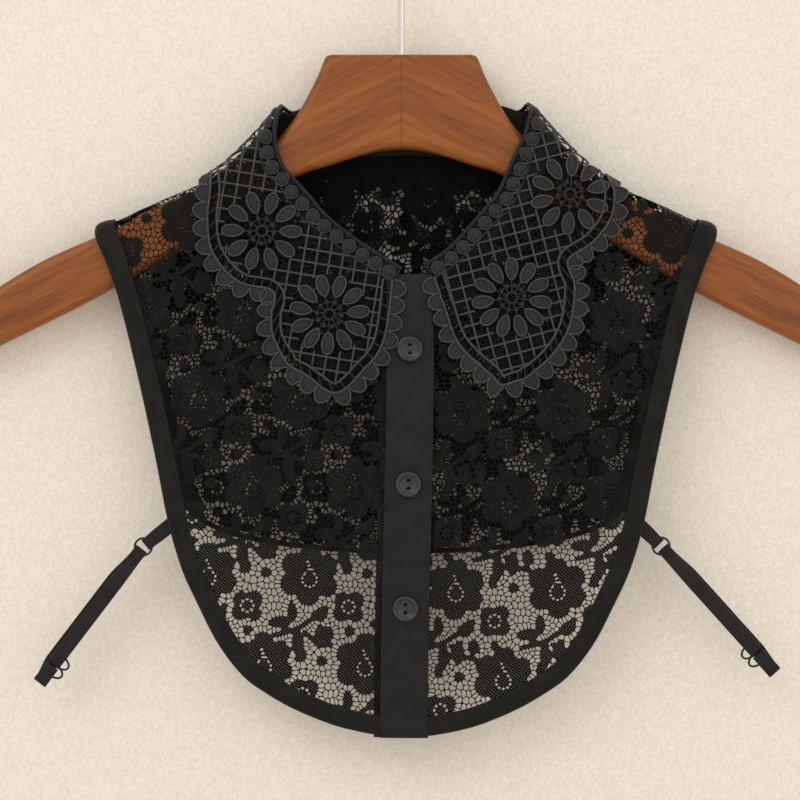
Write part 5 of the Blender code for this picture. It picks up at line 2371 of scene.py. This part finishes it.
    def flower(self, across: float, height: float, side: int, petals: int, turn: float) -> None:
        """Embroider one flower: petals, a ring of dots and an eyelet.

        Args:
            across: Its middle, in millimetres.
            height: Its height, in millimetres.
            side: 1 in front, -1 behind.
            petals: How many petals it has.
            turn: The way its first petal points, in degrees.
        """
        s = self.sizes
        x0 = across * MM
        v0 = COLLAR.ridge(x0) - abs(COLLAR.along(x0, height * MM, side))
        for k in range(petals):
            angle = math.radians(turn) + math.tau * k / petals
            self.petal((x0, v0, side), angle)
            near, far = s.ring + 0.4, s.petal_in + 1.5
            way = Vector((math.cos(angle), math.sin(angle)))
            steps = [near + (far - near) * i / 4 for i in range(5)]
            path = [self.plane((x0 + way.x * r * MM, v0 + way.y * r * MM), side) for r in steps]
            self.run(path, 0.5 * MM, 0.9 * MM, 6)
        dots = petals - 1
        for k in range(dots):
            angle = math.radians(turn + 12) + math.tau * k / dots
            at = (x0 + s.dot_ring * MM * math.cos(angle), v0 + s.dot_ring * MM * math.sin(angle))
            self.dot(self.plane(at, side), s.dot * MM, 1.0 * MM, 0.8 * MM, 12)
        turns = [math.tau * k / 22 for k in range(22)]
        for radius, cord in ((s.ring, 0.72 * MM), (s.dot_ring, 0.42 * MM)):
            ring = [
                self.plane(
                    (x0 + radius * MM * math.cos(a), v0 + radius * MM * math.sin(a)), side
                ) for a in turns
            ]
            self.run(ring, cord, 1.1 * MM if radius == s.ring else 0.8 * MM, 7, closed=True)

    def dot(self, middle: Vector, radius: float, base: float, rise: float, count: int = 18) -> None:
        """Embroider a padded dot.

        Args:
            middle: Its middle on the cloth.
            radius: Its radius.
            base: Height of its outline above the inner face.
            rise: How far its middle stands above that.
            count: Points of its outline.
        """
        outline, uvs = [], []
        right = Vector((1.0, 0.0, 0.0))
        out = self.out(middle)
        up = out.cross(right).normalized()
        right = up.cross(out).normalized()
        for k in range(count):
            turn = math.tau * k / count
            way = right * math.cos(turn) + up * math.sin(turn)
            outline.append(self.shifted(middle, way, radius))
            uvs.append((radius * math.cos(turn), radius * math.sin(turn)))
        self.pad(outline, middle, base, rise, uvs)
        if radius == self.sizes.fold_dot:
            self.run(outline, 0.36 * MM, base + 0.3 * MM, 6, closed=True, look=1)

    def border(self) -> None:
        """Lay the double border cord, its ladder bars and the scallops."""
        s = self.sizes
        inward = self.sign
        inner = self.beside(self.cord, inward * s.border_gap)
        self.run(self.cord, s.border_cord, 1.25 * MM, 8, look=1)
        self.run(inner, s.border_cord * 0.9, 1.2 * MM, 8, look=1)
        length = path_length([self.lie(p, 0.0) for p in self.cord])
        bars = round(length / s.ladder)
        for a, b in zip(even_path(self.cord, bars + 1), even_path(inner, bars + 1)):
            self.run([a.lerp(b, k / 4) for k in range(5)], 0.5 * MM, 0.8 * MM, 6)
        count = round(length / s.scallop)
        fine = self.even(self.cord, 18 * count + 1)
        for k in range(count):
            self.scallop_at(fine[18 * k : 18 * k + 19], -inward)

    def even(self, path: list, count: int) -> list[Vector]:
        """Sample a path on the cloth evenly by its length in space."""
        return even_path(path, count, [self.lie(p, 0.0) for p in path])

    def scallop_at(self, root: list, way: int) -> None:
        """Embroider one half-round scallop with its raised edge.

        Args:
            root: Points of the cord under it.
            way: The side it stands on.
        """
        s = self.sizes
        reaches = []
        for k in range(len(root)):
            off = 2 * k / (len(root) - 1) - 1
            reaches.append(
                s.scallop_root + (s.scallop_reach - s.scallop_root) * math.sqrt(max(0.0, 1 - off * off))
            )
        base = root[len(root) // 2]
        along = self.lie(root[-1], 0.0) - self.lie(root[0], 0.0)
        toward = self.out(base).cross(along).normalized() * way
        rows, uvs = [], []
        shares = [0.0, 0.25, 0.5, 0.75, 1.0]
        ups = [0.95, 1.1, 1.15, 1.05, 0.9]
        for k, (p, reach) in enumerate(zip(root, reaches)):
            ends = self.shifted(p, toward, reach)
            row = [self.lie(p.lerp(ends, share), up * MM) for share, up in zip(shares, ups)]
            under = [self.lie(p.lerp(ends, share), 0.35 * MM) for share in (1.0, 0.5, 0.0)]
            rows.append(row + under)
            where = k * s.scallop / (len(root) - 1)
            uvs.append(
                [(where, reach * share) for share in shares] + [
                    (where, reach * share) for share in (1.0, 0.5, 0.0)
                ]
            )
        self.maker.rows(rows, uvs, wrap=True, caps=True)
        rim = [self.shifted(p, toward, reach) for p, reach in zip(root, reaches)]
        self.run(rim, s.rim_cord, 1.3 * MM, 6, look=1)

    def fold_trim(self) -> None:
        """Lay the narrow band along the fold line and the padded dots beside it."""
        s = self.sizes
        path = self.even(self.fold, 110)
        inward = -self.sign
        band = [(-1.0, 0.1), (-0.9, 1.0), (0.0, 1.35), (0.9, 1.0), (1.0, 0.1)]
        points = [self.lie(p, 0.0) for p in self.beside(path, inward * 1.0 * MM)]
        outs = [self.out(p) for p in path]
        self.maker.cord(points, outs, [(a * MM, b * MM) for a, b in band])
        for offset in (1.0 * MM, s.fold_dot_inset + s.fold_dot + 0.2 * MM):
            self.run(self.beside(path, inward * offset), 0.5 * MM, 1.1 * MM, 6)
        length = path_length([self.lie(p, 0.0) for p in path])
        dots = round(length / s.fold_dot_pitch)
        line = self.even(self.beside(path, inward * s.fold_dot_inset), 2 * dots + 1)
        for p in line[1::2]:
            self.dot(p, s.fold_dot, 0.95 * MM, 1.35 * MM)
        edge = self.even(path, 2 * dots + 1)
        for a, b in zip(edge[0::2], line[0::2]):
            self.run([a.lerp(b, k / 4) for k in range(5)], 0.45 * MM, 0.7 * MM, 6)

    def net(self) -> None:
        """Lay the net of bars, wherever it isn't under the border, the dots or a flower."""
        s = self.sizes
        cord = np.array([tuple(self.lie(p, 0.0)) for p in self.cord])
        fold = np.array([tuple(self.lie(p, 0.0)) for p in self.fold])
        middles = []
        for across, height, side, _, _ in self.flowers:
            along = COLLAR.along(across * MM, height * MM, side)
            middles.append(tuple(self.lie(Vector((across * MM, along)), 0.0)))
        heart = np.array(middles)
        for side, tilt, bottom in ((1, self.tilt, -275.0), (-1, 0.0, -190.0)):
            turn = Vector((math.cos(tilt), math.sin(tilt)))
            up = Vector((-turn.y, turn.x))
            corner = Vector((2.0, bottom)) * MM + (turn + up) * s.net_pitch / 2
            for first, second, lines in ((turn, up, 40), (up, turn, 40)):
                for i in range(-8, lines):
                    path = [
                        corner + first * s.net_pitch * i + second * s.net_step * j
                        for j in range(-40, 150)
                    ]
                    self.net_line(path, side, cord, fold, heart)

    def net_line(
        self, path: list, side: int, cord: np.ndarray, fold: np.ndarray, heart: np.ndarray
    ) -> None:
        """Lay one bar of the net where it shows.

        Args:
            path: Places in the hanging plane.
            side: 1 in front, -1 behind.
            cord: Points of the outer border cord.
            fold: Points of the fold line.
            heart: Middles of the flowers.
        """
        s = self.sizes
        outline = np.array([tuple(p) for p in self.fold[::-1] + self.cord])
        run: list = []
        usable = [p for p in path if p.x > 0]
        if not usable:
            return
        spots = [self.plane(tuple(p), side) for p in usable]
        within = inside_many(np.array([tuple(p) for p in spots]), outline)
        for p, fits in zip(spots, within):
            good = bool(fits) and p.y * side > -s.net_below_fold
            if good:
                here = np.array(tuple(self.lie(p, 0.0)))
                good = np.linalg.norm(cord - here, axis=1).min() > s.border_gap - 0.4 * MM
                good = good and np.linalg.norm(fold - here, axis=1).min() > s.fold_dot_inset
                good = good and np.linalg.norm(heart - here, axis=1).min() > s.net_room
            if good:
                run.append(p)
            if not good or p is spots[-1]:
                if len(run) > 1:
                    self.run(run, s.net_bar, 0.85 * MM, 6, 0.85, look=1)
                run = []

    def build(self, look: bpy.types.Material, edge: bpy.types.Material) -> None:
        """Embroider the half.

        Args:
            look: Material of the padded stitching.
            edge: Material of the raised edges and net bars, paler as a painted highlight.
        """
        self.border()
        self.fold_trim()
        for row in self.flowers:
            self.flower(*row)
        self.net()
        piece = self.maker.piece(f"guipure_collar_{self.name}", [look, edge], crease=70.0)
        settle(piece, "guipure", f"collar_{self.name}")


@dataclass
class Buttons:
    """Three turned two-hole buttons, sewn on with crossed thread."""

    radius: float = 6.35 * MM
    thick: float = 2.6 * MM
    hole: float = 0.9 * MM
    spacing: float = 3.6 * MM

    def profile(self) -> list[tuple]:
        """Radius and height along the button's section, from its face to its back."""
        r, t = self.radius, self.thick
        rows = [
            (0.0, 0.5), (0.28, 0.5), (0.5, 0.52), (0.62, 0.6), (0.7, 0.78), (0.76, 0.93), (0.83, 1.0)
        ]
        rows += [
            (0.9, 0.99),
            (0.96, 0.9),
            (1.0, 0.68),
            (0.995, 0.5),
            (0.96, 0.28),
            (0.88, 0.1),
            (0.75, 0.02),
            (0.0, 0.0),
        ]
        return [(a * r, b * t) for a, b in rows]

    def build(self, look: bpy.types.Material) -> None:
        """Turn, drill and sew the buttons; the thread is dyed to match.

        Args:
            look: Material of the buttons.
        """
        for number in range(1, len(BUTTON_HEIGHTS) + 1):
            low, high = (Vector(p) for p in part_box(f"button_{number}"))
            seat = Vector(((low.x + high.x) / 2, high.y, (low.z + high.z) / 2))
            maker = MeshMaker()
            rows = []
            for k in range(48):
                a = math.tau * k / 48
                rows.append(
                    [seat + Vector((r * math.cos(a), -h, r * math.sin(a))) for r, h in self.profile()]
                )
            maker.rows(rows, loop=True)
            button = maker.piece(f"button_turned_{number}", [look], crease=75.0)
            mend(button.data, 1e-6)
            for way in (-1, 1):
                self.drill(button, seat + Vector((0.0, 0.0, way * self.spacing / 2)))
            settle(button, "button", f"button_{number}")
            self.sew(number, seat, look)

    def drill(self, button: bpy.types.Object, place: Vector) -> None:
        """Drill one hole.

        Args:
            button: The button.
            place: Middle of the hole at the button's back.
        """
        work = bmesh.new()
        turn = Matrix.Translation(place) @ Matrix.Rotation(math.pi / 2, 4, "X")
        bmesh.ops.create_cone(
            work,
            cap_ends=True,
            segments=20,
            radius1=self.hole,
            radius2=self.hole,
            depth=9 * MM,
            matrix=turn,
        )
        mesh = bpy.data.meshes.new("drill")
        work.to_mesh(mesh)
        work.free()
        drill = add_object("drill", mesh)
        cut = button.modifiers.new("Hole", "BOOLEAN")
        cut.operation = "DIFFERENCE"
        cut.solver = "EXACT"
        cut.object = drill
        graph = bpy.context.evaluated_depsgraph_get()
        drilled = bpy.data.meshes.new_from_object(button.evaluated_get(graph))
        button.modifiers.clear()
        button.data = drilled
        bpy.data.objects.remove(drill)

    def sew(self, number: int, seat: Vector, thread: bpy.types.Material) -> None:
        """Sew a button on.

        Args:
            number: Its number.
            seat: Middle of its back.
            thread: Material of the thread.
        """
        maker = MeshMaker()
        out = Vector((0.0, -1.0, 0.0))
        for shift in (-0.35, 0.0, 0.35):
            points = []
            for k in range(9):
                t = k / 8
                z = (t - 0.5) * self.spacing
                y = 0.25 * self.thick + 0.36 * self.thick * math.sin(math.pi * t) ** 0.4
                points.append(seat + Vector((shift * MM, -y, z)))
            maker.cord(points, [out] * 9, round_profile(0.22 * MM, 6))
        piece = maker.piece(f"button_thread_{number}", [thread])
        settle(piece, "button")


@dataclass
class StrapPlan:
    """Where one strap lies: its root, ring, slider and end, as X and Z in millimetres."""

    side: str
    root: tuple
    ring: tuple
    slider: tuple
    end: tuple
    offset: float


@dataclass
class Straps:
    """Two adjustable straps: a tab, a ring, doubled elastic and a figure-of-eight slider."""

    width: float = 7.0 * MM
    thick: float = 0.95 * MM
    ring_radius: float = 4.2 * MM
    wire: float = 0.55 * MM
    lift: float = 1.3 * MM
    under_tape: float = 6.0 * MM
    pinched: float = 6.4 * MM
    ring_reach: float = 2.9 * MM
    eye_apart: float = 2.6 * MM
    eye_half_long: float = 2.9 * MM
    eye_half_wide: float = 5.0 * MM
    eye_along: float = 1.5 * MM
    eye_across: float = 1.7 * MM
    plans: tuple = (
        StrapPlan("left", (-112.6, -322.2), (-126.1, -333.0), (-168.9, -389.1), (-178.0, -398.2), -1.7),
        StrapPlan("right", (115.8, -322.0), (126.7, -332.6), (172.3, -383.2), (181.4, -394.9), 1.2),
    )

    def band(self, maker: MeshMaker, path: list, widths: list, across: Vector, shifts: list) -> None:
        """Lay a flat band with rounded edges along a path.

        Args:
            maker: The piece's mesh.
            path: Its points.
            widths: Its width at each point.
            across: The direction of its width.
            shifts: How far it is moved across at each point.
        """
        rows, uvs, far = [], [], 0.0
        section = [
            (-1.0, 0.0),
            (-0.96, 0.75),
            (-0.82, 1.0),
            (-0.4, 1.0),
            (0.0, 1.0),
            (0.4, 1.0),
            (0.82, 1.0),
            (0.96, 0.75),
            (1.0, 0.0),
        ]
        section += [(a, -b) for a, b in section[-2:0:-1]]
        for i, (p, wide, shift) in enumerate(zip(path, widths, shifts)):
            along = heading(path, i).normalized()
            out = across.cross(along).normalized()
            far += (p - path[i - 1]).length if i else 0.0
            rows.append(
                [p + across * (a * wide / 2 + shift) + out * b * self.thick / 2 for a, b in section]
            )
            uvs.append([(a * wide / 2, far) for a, _ in section])
        maker.rows(rows, uvs, wrap=True, caps=True)

    def turn(self, tip: float, way: int) -> list[tuple]:
        """Points of a fold round a wire: pairs of distance and depth."""
        angles = [math.pi * k / 10 for k in range(11)]
        return [(tip + way * self.lift * math.sin(a), -self.lift * math.cos(a)) for a in angles]

    def fine(self, pairs: list, extra: list) -> tuple[list, list]:
        """Sample a path of distance and depth more closely, with its widths.

        Args:
            pairs: The path.
            extra: A number at each of its points.

        Returns:
            The closer path, and its numbers.
        """
        path, numbers = [], []
        for (a, b), (u, v) in zip(zip(pairs, pairs[1:]), zip(extra, extra[1:])):
            count = max(1, round(math.dist(a, b) / (1.6 * MM)))
            for k in range(count):
                t = k / count
                path.append((a[0] + (b[0] - a[0]) * t, a[1] + (b[1] - a[1]) * t))
                numbers.append(u + (v - u) * smoothstep(t))
        return path + [pairs[-1]], numbers + [extra[-1]]

    def build(self, elastic: bpy.types.Material, metal: bpy.types.Material) -> None:
        """Build both straps.

        Args:
            elastic: Material of the bands.
            metal: Material of the fittings.
        """
        for plan in self.plans:
            low, high = (Vector(p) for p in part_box(f"strap_ring_{plan.side}"))
            depth = (low.y + high.y) / 2
            root, ring, slider, end = (
                Vector((x * MM, depth, z * MM))
                for x, z in (plan.root, plan.ring, plan.slider, plan.end)
            )
            self.tab(plan.side, root, ring, elastic)
            self.metal(plan.side, ring, slider, metal)
            self.elastic(plan, ring, slider, end, elastic)

    def tab(self, side: str, root: Vector, ring: Vector, look: bpy.types.Material) -> None:
        """Build the tab that holds the ring.

        Args:
            side: left or right.
            root: Where it leaves the tape.
            ring: Middle of the ring.
            look: Its material.
        """
        way = (ring - root).normalized()
        across = Vector((-way.z, 0.0, way.x))
        start = root - way * self.under_tape
        tip = (ring - start).length - self.ring_reach
        pairs = [
            (0.0, -self.lift), (0.6 * tip, -self.lift)
        ] + self.turn(tip, 1) + [(0.6 * tip, self.lift), (0.0, self.lift)]
        widths = [self.width] * 2 + [self.pinched] * 11 + [self.width] * 2
        path, wide = self.fine(pairs, widths)
        points = [start + way * a + Vector((0.0, b, 0.0)) for a, b in path]
        maker = MeshMaker()
        self.band(maker, points, wide, across, [0.0] * len(points))
        piece = maker.piece(f"strap_tab_cloth_{side}", [look])
        settle(piece, "elastic", f"strap_tab_{side}")

    def elastic(
        self, plan: StrapPlan, ring: Vector, slider: Vector, end: Vector, look: bpy.types.Material
    ) -> None:
        """Build the doubled elastic.

        Args:
            plan: The strap's plan.
            ring: Middle of the ring.
            slider: Middle of the slider.
            end: The strap's end.
            look: Its material.
        """
        way = (slider - ring).normalized()
        across = Vector((-way.z, 0.0, way.x))
        far, total = (slider - ring).length, (end - ring).length
        lift = self.lift
        pairs = [(far + 1.0 * MM, -lift), (0.66 * far, -lift), (0.33 * far, -lift)]
        pairs += self.turn(self.ring_reach, -1)
        pairs += [(0.33 * far, lift), (0.66 * far, lift), (far, lift), (total - lift, lift)]
        pairs += [(total, 0.0), (total - lift, -lift), (far + 2.5 * MM, -lift)]
        widths = [self.width] * 3 + [self.pinched] * 11 + [self.width] * 7
        shifts = [0.0] * 3 + [0.0] * 11 + [plan.offset * MM] * 3 + [0.0] * 4
        path, wide = self.fine(pairs, widths)
        _, shift = self.fine(pairs, shifts)
        points = [ring + way * a + Vector((0.0, b, 0.0)) for a, b in path]
        maker = MeshMaker()
        self.band(maker, points, wide, across, shift)
        piece = maker.piece(f"strap_band_{plan.side}", [look])
        settle(piece, "elastic", f"strap_elastic_{plan.side}")

    def metal(self, side: str, ring: Vector, slider: Vector, look: bpy.types.Material) -> None:
        """Build the ring and the slider.

        Args:
            side: left or right.
            ring: Middle of the ring.
            slider: Middle of the slider.
            look: Their material.
        """
        out = Vector((0.0, -1.0, 0.0))
        turns = [math.tau * k / 40 for k in range(40)]
        maker = MeshMaker()
        circle = [ring + Vector((math.cos(a), 0.0, math.sin(a))) * self.ring_radius for a in turns]
        maker.cord(circle, [out] * 40, round_profile(self.wire, 10), closed=True)
        settle(maker.piece(f"strap_wire_ring_{side}", [look]), "strap_metal", f"strap_ring_{side}")
        way = (slider - ring).normalized()
        across = Vector((-way.z, 0.0, way.x))
        maker = MeshMaker()
        shift = self.eye_across if side == "left" else -self.eye_across
        for centre in (-self.eye_apart, self.eye_apart):
            middle = slider + way * (self.eye_along + centre) + across * shift
            oval = [
                middle
                + way * math.cos(a) * self.eye_half_long
                + across * math.sin(a) * self.eye_half_wide
                for a in turns
            ]
            maker.cord(oval, [out] * 40, round_profile(self.wire, 10, 0.9), closed=True)
        settle(maker.piece(f"strap_figure_eight_{side}", [look]), "strap_metal", f"strap_slider_{side}")


@dataclass
class Hanger:
    """The shaped wooden hanger and its wire hook."""

    thick: float = 12.0 * MM
    round_over: float = 4.0 * MM
    wire: float = 1.6 * MM
    hook_radius: float = 20.6 * MM
    hook_centre: float = -19.0 * MM
    bend: float = -60.0 * MM
    sunk: float = -109.0 * MM
    hook_from: float = math.radians(-50.0)
    hook_to: float = math.radians(200.0)
    bend_reach: float = 12.0 * MM

    def outline(self) -> list[tuple]:
        """The wood's outline in metres, anticlockwise from the middle of its top."""
        top = smooth_path([(x * MM, z * MM) for x, z in HANGER_TOP], 2.5 * MM)
        under = smooth_path([(x * MM, z * MM) for x, z in HANGER_TOP[-1:] + HANGER_UNDER], 3.0 * MM)
        half = top + under[1:-1]
        right = [(p.x, p.y) for p in half]
        return right + [(0.0, HANGER_UNDER[-1][1] * MM)] + [(-x, z) for x, z in reversed(right)]

    def build_wood(self, look: bpy.types.Material) -> None:
        """Shape the wood.

        Args:
            look: Its material.
        """
        curve = bpy.data.curves.new("hanger_outline", "CURVE")
        curve.dimensions = "2D"
        spline = curve.splines.new("POLY")
        points = self.outline()
        spline.points.add(len(points) - 1)
        for slot, (x, z) in zip(spline.points, points):
            slot.co = (x, z, 0.0, 1.0)
        spline.use_cyclic_u = True
        curve.fill_mode = "BOTH"
        curve.extrude = self.thick / 2 - self.round_over
        curve.bevel_depth = self.round_over
        curve.bevel_resolution = 5
        curve.offset = -self.round_over
        source = add_object("hanger_outline", curve)
        graph = bpy.context.evaluated_depsgraph_get()
        mesh = bpy.data.meshes.new_from_object(source.evaluated_get(graph))
        bpy.data.objects.remove(source)
        mesh.transform(Matrix.Rotation(math.pi / 2, 4, "X"))
        mend(mesh, 1e-5, outward=False)
        mesh.materials.clear()
        mesh.materials.append(look)
        mesh.shade_smooth()
        mesh.set_sharp_from_angle(angle=math.radians(35))
        piece = add_object("hanger_beech", mesh)
        settle(piece, "wood", "hanger_wood")

    def build_hook(self, look: bpy.types.Material) -> None:
        """Bend the hook.

        Args:
            look: Its material.
        """
        centre = Vector((0.0, 0.0, self.hook_centre))
        start, bend = Vector((0.0, 0.0, self.sunk)), Vector((0.0, 0.0, self.bend))
        first, last = self.hook_from, self.hook_to
        join = centre + Vector((math.cos(first), 0.0, math.sin(first))) * self.hook_radius
        rise = Vector((0.0, 0.0, self.bend_reach))
        run = Vector((-math.sin(first), 0.0, math.cos(first))) * self.bend_reach
        path = [start, start.lerp(bend, 0.5), bend]
        for k in range(1, 16):
            t = k / 16
            a, b, c, d = bend, bend + rise, join - run, join
            path.append(
                (1 - t) ** 3 * a + 3 * (1 - t) ** 2 * t * b + 3 * (1 - t) * t * t * c + t**3 * d
            )
        for k in range(61):
            angle = first + (last - first) * k / 60
            path.append(centre + Vector((math.cos(angle), 0.0, math.sin(angle))) * self.hook_radius)
        maker = MeshMaker()
        maker.cord(path, [Vector((0.0, -1.0, 0.0))] * len(path), round_profile(self.wire, 16))
        settle(maker.piece("hook_wire_bent", [look]), "hook_wire", "hanger_hook")


@dataclass
class Studio:
    """The wall, the floor, the soft lights and the camera."""

    wall_at: float = 15.5 * MM
    camera_away: float = 1.5
    centre: tuple = (-0.7 * MM, -261.3 * MM)
    frame: float = 390.2 * MM
    cloth_at: float = -9.0 * MM

    def surface(self, name: str, corners: list, look: bpy.types.Material) -> None:
        """Make one plain surface of the studio.

        Args:
            name: Its name.
            corners: Its corners.
            look: Its material.
        """
        maker = MeshMaker()
        maker.add([Vector(c) for c in corners], [(0, 1, 2, 3)])
        made = maker.piece(name, [look], closed=False)
        made.visible_shadow = False

    def light(
        self, name: str, place: tuple, target: tuple, size: float, power: float, colour: str
    ) -> None:
        """Hang one soft light.

        Args:
            name: Its name.
            place: Where it hangs.
            target: What it points at.
            size: Its side.
            power: Its power in watts.
            colour: Its colour.
        """
        data = bpy.data.lights.new(name, "AREA")
        data.shape = "SQUARE"
        data.size = size
        data.energy = power
        data.color = linear(colour)[:3]
        lamp = add_object(name, data)
        lamp.location = place
        lamp.rotation_mode = "QUATERNION"
        lamp.rotation_quaternion = (Vector(target) - Vector(place)).to_track_quat("-Z", "Y")

    def build(self) -> None:
        """Set the studio up."""
        plaster = Plaster().make()
        y = self.wall_at
        self.surface("wall", [(-3.0, y, -1.6), (3.0, y, -1.6), (3.0, y, 2.2), (-3.0, y, 2.2)], plaster)
        self.surface(
            "floor", [(-3.0, -4.0, -1.6), (3.0, -4.0, -1.6), (3.0, y, -1.6), (-3.0, y, -1.6)], plaster
        )
        middle = (0.0, 0.0, -0.26)
        self.light("key", (-0.95, -1.4, 0.85), middle, 1.1, 8.0, "#fff9f4")
        self.light("fill", (1.1, -1.6, 0.1), middle, 1.6, 3.5, "#fffdfb")
        self.light("behind", (0.3, 1.6, 0.5), middle, 1.2, 12.0, "#fffaf2")
        world = bpy.data.worlds.new("studio")
        world.use_nodes = True
        ground = world.node_tree.nodes["Background"]
        ground.inputs["Color"].default_value = linear("#fbf6ef")
        ground.inputs["Strength"].default_value = 0.97
        bpy.context.scene.world = world
        bpy.context.scene.view_settings.view_transform = "Standard"
        data = bpy.data.cameras.new("camera")
        data.sensor_width = 36.0
        data.lens = 36.0 * self.camera_away / self.frame
        data.clip_end = 20.0
        camera = add_object("camera", data)
        camera.location = (self.centre[0], self.cloth_at - self.camera_away, self.centre[1])
        camera.rotation_euler = (math.pi / 2, 0.0, 0.0)
        bpy.context.scene.camera = camera


def main() -> None:
    """Build every piece."""
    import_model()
    studio = Studio()
    studio.build()
    hanger = Hanger()
    hanger.build_wood(StainedBeech().make())
    hanger.build_hook(ChromedSteel().make())
    thread = SEWING_THREAD.make()
    LacePanels().build(LACE_THREAD.make(), LACE_FIGURE.make(), LACE_PAINTED_SHADE.make())
    Binding().build(BINDING_CLOTH.make(), thread)
    placket = PLACKET_CLOTH.make()
    Placket("placket_over", "placket_top", 0.0, PLACKET_LIFT, PLACKET_OVER_TOP).build(placket)
    Placket("placket_below", "placket_under", -PLACKET_STEP, -PLACKET_LIFT).build(placket)
    PlacketDetails().build(thread)
    NeckBand().build(BINDING_CLOTH.make())
    satin, edge = SatinStitch().make(), EDGE_CORD_PAINTED_HIGHLIGHT.make()
    for half in (
        ("left", -1, FOLD_LEFT, CORD_LEFT, FLOWERS_LEFT + FLOWERS_BACK, NET_TILT_LEFT),
        ("right", 1, FOLD_RIGHT, CORD_RIGHT, FLOWERS_RIGHT + FLOWERS_BACK, NET_TILT_RIGHT),
    ):
        GuipureCollar(*half).build(satin, edge)
    Buttons().build(CastPolyester().make())
    Straps().build(ELASTIC_CLOTH.make(), NylonCoatedSteel().make())


if __name__ == "__main__":
    logging.basicConfig(level=logging.INFO, format="%(relativeCreated)d ms %(message)s")
    main()
